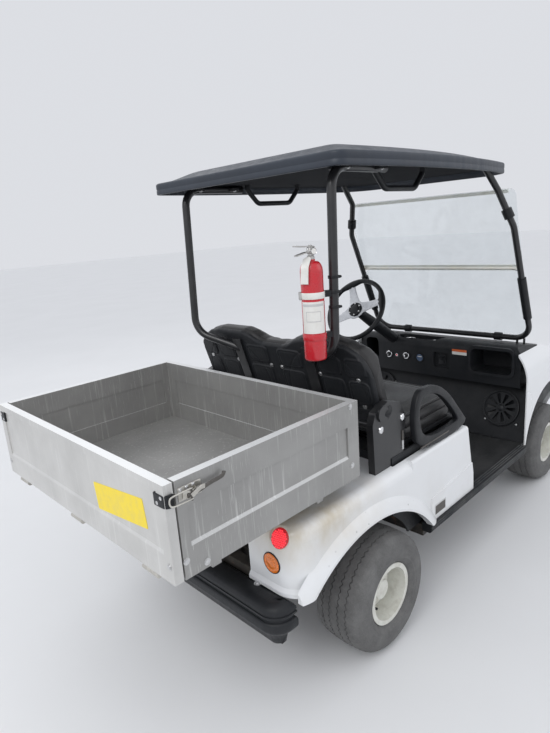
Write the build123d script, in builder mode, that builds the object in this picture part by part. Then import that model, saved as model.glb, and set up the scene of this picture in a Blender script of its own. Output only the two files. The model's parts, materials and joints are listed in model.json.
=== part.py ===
"""Two-seat electric utility vehicle with an aluminium cargo box behind the seat.

Millimetres. X points forward, Y to the left, Z up. The origin is on the ground, midway between
the tailgate and the front bumper. Side outlines are drawn from the rear axle: the plane side()
has its own zero at the rear axle's centre line on the ground.
"""

import math
import os

from build123d import *

os.makedirs("parts", exist_ok=True)

# Layout
WHEELBASE = 1700
REAR_OVERHANG = 850
FRONT_OVERHANG = 370
REAR_X = (REAR_OVERHANG - WHEELBASE - FRONT_OVERHANG) / 2
FRONT_X = REAR_X + WHEELBASE
SEAT_FIT = 0.3
ROUND_FIT = 0.6

# Wheels: low-pressure tyre on an eight inch rim
TYRE_R = 224
TYRE_WIDTH = 212
TREAD_WIDTH = 150
SHOULDER_DROP = 9
RIM_WIDTH = 178
RIM_FLANGE_R = 115
RIM_SEAT_R = 102
RIM_WALL = 4
BEAD_WIDTH = RIM_WIDTH - 2 * (RIM_WALL + ROUND_FIT)
DISC_OFFSET = 22
DISC_WALL = 5
HUB_BORE_R = 34
LUG_CIRCLE_R = 56
LUG_COUNT = 4
REAR_HALF_TRACK = 490
FRONT_HALF_TRACK = 437

# Ladder frame
RAIL_Y = 170
RAIL_WIDTH = 40
RAIL_HEIGHT = 50
FLOOR_TOP = 335
FLOOR_WALL = 8
RAIL_TOP = FLOOR_TOP - FLOOR_WALL
KICK_UP = 123
RAIL_REAR = -428
BUMPER_DEPTH = 40
RAIL_FRONT = WHEELBASE + FRONT_OVERHANG - BUMPER_DEPTH
CROSS_WIDTH = 40

# Body
BODY_HALF = 548
BODY_WALL = 6
DECK_TOP = 660
BODY_REAR = -440
BODY_FRONT = 712
PANEL_FRONT = 652
FENDER_SHOULDER_R = 44
PANEL_SHOULDER_R = 12
TAIL_CORNER_R = 84
ARCH_R = 499
ARCH_X = -76
ARCH_Z = 43
FLARE_WIDTH = 48
FLARE_OUT = 24
SKIRT_OUT = 5
BAY_REAR = 128
BAY_MARGIN = 36
BAY_HALF = BODY_HALF - BAY_MARGIN
LIP_OUT = 9
LIP_HEIGHT = 26
TAIL_OPEN_HALF = 330

# Sills
SILL_BOTTOM = 306
SILL_TOP = 346
SILL_REAR = 322
SILL_PROUD = 14
SILL_WIDTH = 43
SILL_OUT = BODY_HALF + SILL_PROUD
SILL_IN = SILL_OUT - SILL_WIDTH
SILL_GROOVES = 3
OUTRIGGER_HALF = SILL_IN - SEAT_FIT

# Front cowl and dashboard, both set back from the nose
COWL_LENGTH = 764
NOSE_BACK = 6
NOSE_X = WHEELBASE + FRONT_OVERHANG - NOSE_BACK
COWL_REAR = NOSE_X - COWL_LENGTH
COWL_HALF = BODY_HALF + 2
COWL_TOP = 862
COWL_BOTTOM = 347
COWL_CURVE = ((454, 822), (214, 722), (64, 598), (0, 440))
COWL_PLAN = ((364, 0), (159, 62), (44, 220))
COWL_SHOULDER = ((0, 162), (30, 62), (94, -6))
FRONT_ARCH_R = 348
FRONT_ARCH_BACK = 50
FRONT_ARCH_X = WHEELBASE - FRONT_ARCH_BACK
FRONT_ARCH_Z = 272
FRONT_FLARE_WIDTH = 34
FRONT_FLARE_OUT = 18
DASH_MARGIN = 51
DASH_HALF = COWL_HALF - DASH_MARGIN
DASH_DEPTH = 222
DASH_FACE = COWL_REAR + 34
DASH_BACK = DASH_FACE + DASH_DEPTH
DASH_BOTTOM = 640
GLOVE_DEPTH = 150
GLOVE_LIP = 16
CUP_R = 41
CUP_DEPTH = 62
CUP_DECK = 828
KICK_TOP_X = COWL_REAR + 140
KICK_FOOT_X = COWL_REAR + 22
KICK_WALL = 6
SPEAKER_R = 100
SPEAKER_Y = DASH_HALF - 114
SILL_FRONT = COWL_REAR - 8

# Bench
SEAT_MARGIN = 76
SEAT_HALF = BODY_HALF - SEAT_MARGIN
PAN_BOTTOM = 690
PAN_WALL = 14
CUSHION_THICK = 115
CUSHION_REAR = 238
CUSHION_FRONT = 656
BACK_LEAN = 17
BACK_FOOT_X = 140
BACK_FOOT_Z = 760
BACK_HEIGHT = 386
BACK_SHELL = 15
BACK_PAD = 80

# Roof and its tubes
ROOF_BOTTOM = 1710
ROOF_RIM = 46
ROOF_RISE = 90
ROOF_TOP = ROOF_BOTTOM + ROOF_RISE
ROOF_REAR = -100
ROOF_FRONT = COWL_REAR - 30
ROOF_MARGIN = 18
ROOF_HALF = BODY_HALF - ROOF_MARGIN
ROOF_PLAN = ((890, 0), (140, 68), (38, 125), (0, 230))
ROOF_WALL = 14
CEILING_RISE = 28
CEILING = ROOF_BOTTOM + CEILING_RISE
TUBE_R = 16
SCREEN_TUBE_R = 15
STRUT_Y = ROOF_HALF - 135
SCREEN_Y = DASH_HALF - 21
GLASS = 5

# Cargo box
BOX_REAR = -847
BOX_FRONT = -104
BOX_HALF = 537
BOX_BOTTOM = 722
BOX_TOP = 988
BOX_WALL = 26
BOX_FLOOR = 10
GATE_GAP = 5
PANEL_RECESS = 5
PANEL_Z = (804, 911)
PANEL_MARGIN = 56
LEDGE = 9

# Steering
COLUMN_ANGLE = 31.8
HUB_BACK = 364
HUB_X = DASH_FACE - HUB_BACK
HUB_Y = 270
HUB_Z = 1071
WHEEL_RIM_R = 172
WHEEL_GRIP_R = 14
SPOKE_WIDTH = 30
SPOKE_TURNS = (62, 158, 326)
KINGPIN_Y = 307
KNUCKLE_R = 18
AXLE_HALF = 256


def side(y=0.0):
    """The upright plane along the vehicle at one Y, with its zero at the rear axle."""
    return Plane(origin=(REAR_X, y, 0), x_dir=(1, 0, 0), z_dir=(0, -1, 0))


def plan(z=0.0):
    """The level plane at one height, with its zero over the rear axle."""
    return Plane(origin=(REAR_X, 0, z), x_dir=(1, 0, 0), z_dir=(0, 0, 1))


def across(x=0.0):
    """The upright plane across the vehicle, X measured from the rear axle, looking forward."""
    return Plane(origin=(REAR_X + x, 0, 0), x_dir=(0, 1, 0), z_dir=(1, 0, 0))


def tube(points, radii, radius):
    """A round tube through points given from the rear axle, with rounded corners."""
    route = [(REAR_X + x, y, z) for x, y, z in points]
    with BuildPart() as pipe:
        with BuildLine() as path:
            FilletPolyline(*route, radius=radii)
        with BuildSketch(Plane(origin=path.line @ 0, z_dir=path.line % 0)):
            Circle(radius)
        sweep()
    return pipe.part


def block(x0, x1, y0, y1, z0, z1):
    """A plain block between two X, two Y and two Z, with X from the rear axle."""
    with BuildPart(mode=Mode.PRIVATE) as solid:
        with BuildSketch(plan(z0)):
            with Locations(((x0 + x1) / 2, (y0 + y1) / 2)):
                Rectangle(x1 - x0, y1 - y0)
        extrude(amount=z1 - z0)
    return solid.part


def finish(piece, name):
    """Label one sub-part and write it out."""
    piece.part.label = name
    export_step(piece.part, f"parts/{name}.step")


# Wheels
def wheel_plane(x, y):
    """The half plane in which a wheel's section is drawn: across the wheel, then outward."""
    return Plane(origin=(REAR_X + x, y, TYRE_R), x_dir=(0, 1, 0), z_dir=(1, 0, 0))


def wheel_axis(x, y):
    return Axis((REAR_X + x, y, TYRE_R), (0, 1, 0))


corners = [
    ("front_left", WHEELBASE, FRONT_HALF_TRACK),
    ("front_right", WHEELBASE, -FRONT_HALF_TRACK),
    ("rear_left", 0, REAR_HALF_TRACK),
    ("rear_right", 0, -REAR_HALF_TRACK),
]

for name, x, y in corners:
    out = math.copysign(1, y)
    bead = RIM_SEAT_R + ROUND_FIT
    widest = (TYRE_R + bead) / 2

    with BuildPart() as tyre:
        with BuildSketch(wheel_plane(x, y)):
            with BuildLine():
                Polyline(
                    (-BEAD_WIDTH / 2, bead),
                    (-BEAD_WIDTH / 2, RIM_FLANGE_R),
                    (-TYRE_WIDTH / 2, widest),
                    (-TREAD_WIDTH / 2, TYRE_R - SHOULDER_DROP),
                )
                ThreePointArc(
                    (-TREAD_WIDTH / 2, TYRE_R - SHOULDER_DROP),
                    (0, TYRE_R),
                    (TREAD_WIDTH / 2, TYRE_R - SHOULDER_DROP),
                )
                Polyline(
                    (TREAD_WIDTH / 2, TYRE_R - SHOULDER_DROP),
                    (TYRE_WIDTH / 2, widest),
                    (BEAD_WIDTH / 2, RIM_FLANGE_R),
                    (BEAD_WIDTH / 2, bead),
                    (-BEAD_WIDTH / 2, bead),
                )
            make_face()
        revolve(axis=wheel_axis(x, y))
    finish(tyre, f"tyre_{name}")

    with BuildPart() as rim:
        with BuildSketch(wheel_plane(x, y)):
            with BuildLine():
                Polyline(
                    (-RIM_WIDTH / 2, RIM_FLANGE_R),
                    (-RIM_WIDTH / 2 + RIM_WALL, RIM_FLANGE_R),
                    (-RIM_WIDTH / 2 + RIM_WALL, RIM_SEAT_R),
                    (RIM_WIDTH / 2 - RIM_WALL, RIM_SEAT_R),
                    (RIM_WIDTH / 2 - RIM_WALL, RIM_FLANGE_R),
                    (RIM_WIDTH / 2, RIM_FLANGE_R),
                    (RIM_WIDTH / 2, RIM_SEAT_R - RIM_WALL),
                    (-RIM_WIDTH / 2, RIM_SEAT_R - RIM_WALL),
                    close=True,
                )
            make_face()
            with BuildLine():
                Polyline(
                    (out * DISC_OFFSET, HUB_BORE_R),
                    (out * (DISC_OFFSET + DISC_WALL), HUB_BORE_R),
                    (out * (DISC_OFFSET + DISC_WALL), LUG_CIRCLE_R + 14),
                    (out * (DISC_OFFSET - 10), RIM_SEAT_R - RIM_WALL),
                    (out * (DISC_OFFSET - 15), RIM_SEAT_R - RIM_WALL),
                    (out * DISC_OFFSET, LUG_CIRCLE_R + 10),
                    close=True,
                )
            make_face()
        revolve(axis=wheel_axis(x, y))
        hub_face = Plane(
            origin=(REAR_X + x, y + out * (DISC_OFFSET + DISC_WALL), TYRE_R),
            x_dir=(1, 0, 0),
            z_dir=(0, out, 0),
        )
        with BuildSketch(hub_face):
            with PolarLocations(LUG_CIRCLE_R, LUG_COUNT, start_angle=45):
                RegularPolygon(11, 6)
        extrude(amount=11)
        with BuildSketch(hub_face):
            Circle(HUB_BORE_R + 2)
        extrude(amount=26)
    finish(rim, f"rim_{name}")


# Steering knuckles: kingpin barrel, stub axle with its hub and steering arm
STUB_R = 15
HUB_LENGTH = 46
for name, y in (("left", 1), ("right", -1)):
    yoke = 37
    with BuildPart() as knuckle:
        with BuildSketch(plan(TYRE_R - yoke)):
            with Locations((WHEELBASE, y * KINGPIN_Y)):
                Circle(KNUCKLE_R)
        extrude(amount=2 * yoke)
        stub = Plane(
            origin=(FRONT_X, y * KINGPIN_Y, TYRE_R), x_dir=(1, 0, 0), z_dir=(0, y, 0)
        )
        stub_end = FRONT_HALF_TRACK + DISC_OFFSET + DISC_WALL - KINGPIN_Y - SEAT_FIT
        with BuildSketch(stub):
            Circle(STUB_R)
        extrude(amount=stub_end)
        with BuildSketch(stub.offset(stub_end - HUB_LENGTH)):
            Circle(HUB_BORE_R - ROUND_FIT)
        extrude(amount=HUB_LENGTH)
        add(
            block(
                WHEELBASE - 110,
                WHEELBASE,
                *sorted((y * (KINGPIN_Y - 24), y * (KINGPIN_Y - 4))),
                TYRE_R - 30,
                TYRE_R - 16,
            )
        )
    finish(knuckle, f"knuckle_{name}")


# Front axle: beam with an open yoke at each end
with BuildPart() as front_axle:
    add(block(WHEELBASE - 22, WHEELBASE + 22, -AXLE_HALF, AXLE_HALF, TYRE_R - 25, TYRE_R + 25))
    for y in (1, -1):
        reach = sorted((y * (AXLE_HALF - 8), y * (KINGPIN_Y + KNUCKLE_R)))
        add(block(WHEELBASE - 20, WHEELBASE + 20, *reach, TYRE_R + 37.3, TYRE_R + 49))
        add(block(WHEELBASE - 20, WHEELBASE + 20, *reach, TYRE_R - 49, TYRE_R - 37.3))
        web = sorted((y * (AXLE_HALF - 8), y * (AXLE_HALF + 6)))
        add(block(WHEELBASE - 20, WHEELBASE + 20, *web, TYRE_R - 49, TYRE_R + 49))
        arm = sorted((y * (RAIL_Y - 15), y * (RAIL_Y + 15)))
        add(block(WHEELBASE - 20, WHEELBASE + 20, *arm, TYRE_R + 25, RAIL_TOP - RAIL_HEIGHT))
finish(front_axle, "front_axle")


# Rear axle: tubes, differential housing, motor and brake drums
AXLE_TUBE_R = 34
DRUM_R = 84
DRUM_INSET = 70
with BuildPart() as rear_axle:
    with BuildSketch(side(-REAR_HALF_TRACK + 60)):
        with Locations((0, TYRE_R)):
            Circle(AXLE_TUBE_R)
    extrude(amount=-2 * (REAR_HALF_TRACK - 60))
    with BuildSketch(side()):
        with Locations((0, TYRE_R)):
            Circle(88)
    extrude(amount=58, both=True)
    with BuildSketch(side(58)):
        with Locations((-70, TYRE_R + 12)):
            Circle(80)
    extrude(amount=-190)
    for y in (1, -1):
        drum = Plane(
            origin=(REAR_X, y * (REAR_HALF_TRACK - DRUM_INSET), TYRE_R), x_dir=(1, 0, 0), z_dir=(0, y, 0)
        )
        with BuildSketch(drum):
            Circle(DRUM_R)
        extrude(amount=DRUM_INSET - 6)
        with BuildSketch(drum):
            Circle(HUB_BORE_R - ROUND_FIT)
        extrude(amount=DRUM_INSET + DISC_OFFSET + DISC_WALL - SEAT_FIT)
finish(rear_axle, "rear_axle")


# Leaf springs under the rear frame, resting on the first outrigger
SPRING_Y = 300
SPRING_HALF = 25
SPRING_FRONT = 329
SPRING_PAD = 366
SHACKLE_X = -340
FRONT_CROSS_HALF = 300
SPRING_LEAF = 14
SPRING_LOW = TYRE_R + AXLE_TUBE_R + SEAT_FIT
SPRING_EYE = RAIL_TOP + SEAT_FIT
SHACKLE_Z = RAIL_TOP + KICK_UP - RAIL_HEIGHT - SEAT_FIT
with BuildPart() as leaf_springs:
    with BuildSketch(side(-SPRING_Y)):
        with BuildLine():
            ThreePointArc((SHACKLE_X, SHACKLE_Z - SPRING_LEAF), (0, SPRING_LOW), (SPRING_FRONT, SPRING_EYE))
            Polyline(
                (SPRING_FRONT, SPRING_EYE),
                (SPRING_PAD, SPRING_EYE),
                (SPRING_PAD, SPRING_EYE + SPRING_LEAF),
                (SPRING_FRONT, SPRING_EYE + SPRING_LEAF),
            )
            ThreePointArc(
                (SPRING_FRONT, SPRING_EYE + SPRING_LEAF),
                (0, SPRING_LOW + SPRING_LEAF),
                (SHACKLE_X, SHACKLE_Z),
            )
            Line((SHACKLE_X, SHACKLE_Z), (SHACKLE_X, SHACKLE_Z - SPRING_LEAF))
        make_face()
    extrude(amount=SPRING_HALF, both=True)
    mirror(about=Plane.XZ)
finish(leaf_springs, "leaf_springs")


# Ladder frame with outriggers, uprights for the cargo box and the rear cross member
rail_line = [
    (RAIL_REAR, RAIL_TOP + KICK_UP),
    (180, RAIL_TOP + KICK_UP),
    (310, RAIL_TOP),
    (RAIL_FRONT, RAIL_TOP),
]
with BuildPart() as frame:
    with BuildSketch(side(RAIL_Y)):
        with BuildLine():
            Polyline(
                *rail_line, *[(x, z - RAIL_HEIGHT) for x, z in reversed(rail_line)], close=True
            )
        make_face()
    extrude(amount=RAIL_WIDTH / 2, both=True)
    mirror(about=Plane.XZ)
finish(frame, "frame")

# Cross members: each a piece between the rails and one outside each rail, by x, reach and base
RAIL_LOW = RAIL_TOP - RAIL_HEIGHT
KICK_LOW = RAIL_LOW + KICK_UP
CROSS_MEMBERS = [
    (350, OUTRIGGER_HALF, RAIL_LOW),
    (680, OUTRIGGER_HALF, RAIL_LOW),
    ((680 + COWL_REAR) / 2, OUTRIGGER_HALF, RAIL_LOW),
    (COWL_REAR - CROSS_WIDTH / 2, OUTRIGGER_HALF, RAIL_LOW),
    (RAIL_FRONT - CROSS_WIDTH / 2, FRONT_CROSS_HALF, RAIL_LOW),
    (RAIL_REAR + CROSS_WIDTH / 2, SPRING_Y + SPRING_HALF, KICK_LOW),
    (SHACKLE_X, SPRING_Y + SPRING_HALF, KICK_LOW),
]
BETWEEN_RAILS = RAIL_Y - RAIL_WIDTH / 2 - SEAT_FIT
BESIDE_RAILS = RAIL_Y + RAIL_WIDTH / 2 + SEAT_FIT
with BuildPart() as cross_members:
    for x, reach, base in CROSS_MEMBERS:
        bar = (x - CROSS_WIDTH / 2, x + CROSS_WIDTH / 2)
        for y0, y1 in (
            (-reach, -BESIDE_RAILS),
            (-BETWEEN_RAILS, BETWEEN_RAILS),
            (BESIDE_RAILS, reach),
        ):
            add(block(*bar, y0, y1, base, base + RAIL_HEIGHT))
finish(cross_members, "cross_members")

# Uprights that carry the cargo box over the raised rails
UPRIGHT_X = (-400, -160)
UPRIGHT_WIDTH = 40
BOX_RAIL_HEIGHT = 50
with BuildPart() as box_uprights:
    for x in UPRIGHT_X:
        for y in (RAIL_Y, -RAIL_Y):
            with BuildSketch(plan(RAIL_TOP + KICK_UP + SEAT_FIT)):
                with Locations((x, y)):
                    Rectangle(UPRIGHT_WIDTH, UPRIGHT_WIDTH)
    extrude(amount=BOX_BOTTOM - BOX_RAIL_HEIGHT - RAIL_TOP - KICK_UP - SEAT_FIT)
finish(box_uprights, "box_uprights")


# Floor pan between the sills
with BuildPart() as floor_pan:
    add(
        block(
            PANEL_FRONT - 20, KICK_FOOT_X + 60, -OUTRIGGER_HALF, OUTRIGGER_HALF, RAIL_TOP, FLOOR_TOP
        )
    )
finish(floor_pan, "floor_pan")


# Kick panel: sloped board with side cheeks and two speaker holes
KICK_TOP = DASH_BOTTOM - SEAT_FIT
KICK_FOOT = COWL_BOTTOM + SEAT_FIT
KICK_HALF = COWL_HALF - BODY_WALL - SEAT_FIT
kick_slope = math.atan2(KICK_TOP_X - KICK_FOOT_X, KICK_TOP - KICK_FOOT)
speaker_z = 500
speaker_x = KICK_FOOT_X + (speaker_z - KICK_FOOT) * math.tan(kick_slope)


def speaker_plane(y):
    """The kick board's own plane at a speaker, facing the seats."""
    return Plane(
        origin=(REAR_X + speaker_x, y, speaker_z),
        x_dir=(0, 1, 0),
        z_dir=(-math.cos(kick_slope), 0, math.sin(kick_slope)),
    )


with BuildPart() as kick_panel:
    with BuildSketch(side()):
        with BuildLine():
            Polyline(
                (KICK_FOOT_X, KICK_FOOT),
                (KICK_TOP_X, KICK_TOP),
                (KICK_TOP_X + KICK_WALL, KICK_TOP),
                (KICK_FOOT_X + KICK_WALL, KICK_FOOT),
                close=True,
            )
        make_face()
    extrude(amount=KICK_HALF, both=True)
    for y in (1, -1):
        with BuildSketch(side(y * (KICK_HALF - KICK_WALL / 2))):
            with BuildLine():
                Polyline(
                    (COWL_REAR + 2, KICK_FOOT),
                    (COWL_REAR + 2, KICK_TOP),
                    (KICK_TOP_X + KICK_WALL, KICK_TOP),
                    (KICK_FOOT_X + KICK_WALL, KICK_FOOT),
                    close=True,
                )
            make_face()
        extrude(amount=KICK_WALL / 2, both=True)
        with BuildSketch(speaker_plane(y * SPEAKER_Y)):
            Circle(SPEAKER_R - 14)
        extrude(amount=20, both=True, mode=Mode.SUBTRACT)
finish(kick_panel, "kick_panel")


# Speaker grilles: stepped ring with radial slots round a plain centre
GRILLE_SLOTS = 10
WEDGE = ((-24, -4), (26, -11), (30, 0), (26, 11), (-24, 4))
with BuildPart() as speaker_grilles:
    for y in (1, -1):
        with BuildSketch(speaker_plane(y * SPEAKER_Y).offset(SEAT_FIT)):
            Circle(SPEAKER_R)
            with PolarLocations(SPEAKER_R * 0.5, GRILLE_SLOTS):
                Polygon(*WEDGE, align=None, mode=Mode.SUBTRACT)
        extrude(amount=6)
        with BuildSketch(speaker_plane(y * SPEAKER_Y).offset(SEAT_FIT + 6)):
            Circle(SPEAKER_R)
            Circle(SPEAKER_R - 12, mode=Mode.SUBTRACT)
        extrude(amount=6)
        with BuildSketch(speaker_plane(y * SPEAKER_Y).offset(SEAT_FIT + 6)):
            Circle(18)
        extrude(amount=3)
finish(speaker_grilles, "speaker_grilles")


# Front cowl: one moulding with a rounded nose, curved shoulders and two wheel arches
def cowl_form(inset):
    """The cowl's closed outer form, drawn in by a wall thickness."""
    with BuildPart() as form:
        with BuildSketch(side()):
            with BuildLine():
                hood = [(NOSE_X - back, z) for back, z in COWL_CURVE]
                Line((COWL_REAR - 12, COWL_BOTTOM - 12), (COWL_REAR - 12, COWL_TOP))
                ThreePointArc((COWL_REAR - 12, COWL_TOP), hood[0], hood[1])
                ThreePointArc(*hood[1:])
                Polyline(
                    hood[-1],
                    (NOSE_X - 12, COWL_BOTTOM - 12),
                    (COWL_REAR - 12, COWL_BOTTOM - 12),
                )
            make_face()
            if inset:
                offset(amount=-inset, kind=Kind.INTERSECTION)
        extrude(amount=COWL_HALF, both=True)
        add(cowl_section(inset, COWL_REAR - 20, NOSE_X + 20), mode=Mode.INTERSECT)
        with BuildSketch(plan(COWL_BOTTOM - 20)):
            with BuildLine():
                half = COWL_HALF - inset
                right = [(NOSE_X - back, drawn_in - half) for back, drawn_in in COWL_PLAN]
                left = [(x, -y) for x, y in reversed(right)]
                Polyline((COWL_REAR - 20, half), (COWL_REAR - 20, -half), right[0])
                ThreePointArc(*right)
                ThreePointArc(right[-1], (NOSE_X - inset, 0), left[0])
                ThreePointArc(*left)
                Line(left[-1], (COWL_REAR - 20, half))
            make_face()
        extrude(amount=COWL_TOP, mode=Mode.INTERSECT)
    return form.part


def cowl_section(inset, x0, x1):
    """The front view of the cowl, upright sides that curve in to the top, along X."""
    with BuildPart() as bar:
        with BuildSketch(across(x0)):
            with BuildLine():
                half = COWL_HALF - inset
                shoulder = [
                    (half - drawn_in, COWL_TOP - drop - inset) for drawn_in, drop in COWL_SHOULDER
                ]
                other = [(-y, z) for y, z in reversed(shoulder)]
                Polyline((-half, 0), (half, 0), shoulder[0])
                ThreePointArc(*shoulder)
                Line(shoulder[-1], other[0])
                ThreePointArc(*other)
                Line(other[-1], (-half, 0))
            make_face()
        extrude(amount=x1 - x0)
    return bar.part


def flare(x, z, radius, half, root, width, out):
    """A band that leans out round a wheel arch on both sides, from a root inside the body."""
    with BuildPart() as band:
        with BuildSketch(Plane(origin=(REAR_X + x, 0, z), x_dir=(0, 1, 0), z_dir=(1, 0, 0))):
            with BuildLine():
                if root < half - BODY_WALL:
                    Line((half - BODY_WALL, radius + width + 10), (root, radius + width + 10))
                Polyline(
                    (root, radius + width + 10),
                    (root, radius),
                    (half + out, radius),
                    (half + out, radius + 9),
                )
                ThreePointArc(
                    (half + out, radius + 9),
                    (half + out * 0.6, radius + width * 0.66),
                    (half - BODY_WALL, radius + width + 10),
                )
            make_face()
        revolve(axis=Axis((REAR_X + x, 0, z), (0, 1, 0)))
        mirror(about=Plane.XZ)
    return band.part


HEADLAMP_R = 58
HEADLAMP_Y = COWL_HALF - 200
HEADLAMP_Z = 560
with BuildPart() as front_cowl:
    add(cowl_form(-FRONT_FLARE_OUT))
    add(
        flare(
            FRONT_ARCH_X,
            FRONT_ARCH_Z,
            FRONT_ARCH_R,
            COWL_HALF,
            HEADLAMP_Y,
            FRONT_FLARE_WIDTH,
            FRONT_FLARE_OUT,
        ),
        mode=Mode.INTERSECT,
    )
    add(cowl_form(0))
    add(cowl_form(BODY_WALL), mode=Mode.SUBTRACT)
    beyond = COWL_HALF + 100
    add(block(0, COWL_REAR, -beyond, beyond, 0, COWL_TOP + 100), mode=Mode.SUBTRACT)
    add(block(0, NOSE_X + 100, -beyond, beyond, 0, COWL_BOTTOM), mode=Mode.SUBTRACT)
    add(
        block(
            0,
            DASH_BACK + SEAT_FIT,
            -DASH_HALF - SEAT_FIT,
            DASH_HALF + SEAT_FIT,
            DASH_BOTTOM - 140,
            COWL_TOP + 100,
        ),
        mode=Mode.SUBTRACT,
    )
    with BuildSketch(side()):
        with Locations((FRONT_ARCH_X, FRONT_ARCH_Z)):
            Circle(FRONT_ARCH_R)
    extrude(amount=beyond, both=True, mode=Mode.SUBTRACT)
    with BuildSketch(across(NOSE_X - 164)):
        with Locations((HEADLAMP_Y, HEADLAMP_Z), (-HEADLAMP_Y, HEADLAMP_Z)):
            Circle(HEADLAMP_R + SEAT_FIT)
    extrude(amount=300, mode=Mode.SUBTRACT)
finish(front_cowl, "front_cowl")


# Headlamps: lens drums behind the cowl's two round holes, cut to the cowl's surface
with BuildPart() as headlamps:
    with BuildSketch(across(NOSE_X - 104)):
        with Locations((HEADLAMP_Y, HEADLAMP_Z), (-HEADLAMP_Y, HEADLAMP_Z)):
            Circle(HEADLAMP_R)
    extrude(amount=150)
    add(cowl_form(1), mode=Mode.INTERSECT)
finish(headlamps, "headlamps")


# Dashboard: moulded crossbar with a glove box, a pocket and two cup holders
def dash_profile(grow):
    """The dashboard's side outline as a bar across the vehicle."""
    with BuildPart() as bar:
        with BuildSketch(side()):
            with BuildLine():
                Polyline((DASH_BACK, COWL_TOP - 30), (DASH_BACK, DASH_BOTTOM + 70))
                Polyline(
                    (DASH_BACK, DASH_BOTTOM + 70),
                    (KICK_TOP_X + KICK_WALL, DASH_BOTTOM),
                    (DASH_FACE + 6, DASH_BOTTOM),
                    (DASH_FACE - 4, COWL_TOP - 62),
                )
                ThreePointArc(
                    (DASH_FACE - 4, COWL_TOP - 62),
                    (DASH_FACE + 6, COWL_TOP - 20),
                    (DASH_FACE + 46, COWL_TOP - 4),
                )
                Line((DASH_FACE + 46, COWL_TOP - 4), (DASH_BACK, COWL_TOP - 30))
            make_face()
            if grow:
                offset(amount=grow, kind=Kind.INTERSECTION)
        extrude(amount=DASH_HALF, both=True)
    return bar.part


POCKETS = [(-456, -232), (372, 462)]
POCKET_Z = (704, 832)
CUP_X = DASH_FACE + 66
CUP_MID = 105
CUP_SPREAD = 90
CUP_PLACES = [(CUP_X, CUP_MID - CUP_SPREAD), (CUP_X, CUP_MID + CUP_SPREAD)]
SWITCH = (-104, -4, 695, 786)
with BuildPart() as dashboard:
    add(dash_profile(0))
    add(
        cowl_section(BODY_WALL / 3, COWL_REAR - 20, NOSE_X),
        mode=Mode.INTERSECT,
    )
    glove_mid = sum(POCKETS[0]) / 2
    glove_width = POCKETS[0][1] - POCKETS[0][0]
    glove_height = POCKET_Z[1] - POCKET_Z[0]
    with BuildSketch(across(DASH_FACE - 10)):
        with Locations((glove_mid, sum(POCKET_Z) / 2)):
            RectangleRounded(glove_width + 2 * GLOVE_LIP, glove_height + 2 * GLOVE_LIP, 26 + GLOVE_LIP)
    extrude(amount=30)
    for y0, y1 in POCKETS:
        with BuildSketch(across(DASH_FACE - 20)):
            with Locations(((y0 + y1) / 2, sum(POCKET_Z) / 2)):
                RectangleRounded(y1 - y0, glove_height, 26)
        extrude(amount=20 + GLOVE_DEPTH, mode=Mode.SUBTRACT)
    with BuildSketch(across(DASH_FACE - 20)):
        with Locations(((SWITCH[0] + SWITCH[1]) / 2, (SWITCH[2] + SWITCH[3]) / 2)):
            RectangleRounded(SWITCH[1] - SWITCH[0], SWITCH[3] - SWITCH[2], 14)
    extrude(amount=34, mode=Mode.SUBTRACT)
    with BuildSketch(plan(CUP_DECK)):
        with Locations((CUP_X, CUP_MID)):
            RectangleRounded(2 * CUP_R + 22, 2 * (CUP_SPREAD + CUP_R) + 22, CUP_R)
    extrude(amount=200, mode=Mode.SUBTRACT)
    with BuildSketch(plan(CUP_DECK - CUP_DEPTH)):
        with Locations(*CUP_PLACES):
            Circle(CUP_R)
    extrude(amount=200, mode=Mode.SUBTRACT)
finish(dashboard, "dashboard")


# Instruments on the dashboard's face
KNOBS = [
    ("key", 295, 739, 14, 18),
    ("pilot_lamp", 242, 738, 6, 4),
    ("light", 176, 742, 14, 16),
    ("meter", 84, 740, 26, 8),
]
with BuildPart() as instruments:
    for _, y, z, radius, depth in KNOBS:
        with BuildSketch(across(DASH_FACE - 8 - depth)):
            with Locations((y, z)):
                Circle(radius)
        extrude(amount=depth + 40)
    add(dash_profile(SEAT_FIT), mode=Mode.SUBTRACT)
    with BuildSketch(across(DASH_FACE)):
        with Locations(((SWITCH[0] + SWITCH[1]) / 2, (SWITCH[2] + SWITCH[3]) / 2)):
            RectangleRounded(34, 52, 6)
    extrude(amount=14 - SEAT_FIT)
finish(instruments, "instruments")


# Steering column and wheel
column_dir = Vector(math.cos(math.radians(COLUMN_ANGLE)), 0, -math.sin(math.radians(COLUMN_ANGLE)))
hub = Vector(REAR_X + HUB_X, HUB_Y, HUB_Z)
COLUMN_START = 34


def column_plane(distance):
    """A plane square to the steering column, at a distance below the wheel's hub."""
    return Plane(origin=hub + column_dir * distance, x_dir=(0, 1, 0), z_dir=column_dir)


with BuildPart() as steering_column:
    with BuildSketch(column_plane(COLUMN_START)):
        Circle(24)
    with BuildSketch(column_plane(COLUMN_START + 140)):
        Circle(30)
    loft()
    with BuildSketch(column_plane(COLUMN_START + 140)):
        Circle(30)
    extrude(amount=330)
    add(dash_profile(SEAT_FIT), mode=Mode.SUBTRACT)
finish(steering_column, "steering_column")

wheel_up = Vector(-column_dir.Z, 0, column_dir.X)
with BuildPart() as steering_wheel:
    with BuildSketch(Plane(origin=hub + wheel_up * WHEEL_RIM_R, x_dir=column_dir, z_dir=(0, 1, 0))):
        Circle(WHEEL_GRIP_R)
    revolve(axis=Axis(hub, column_dir))
finish(steering_wheel, "steering_wheel")

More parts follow.
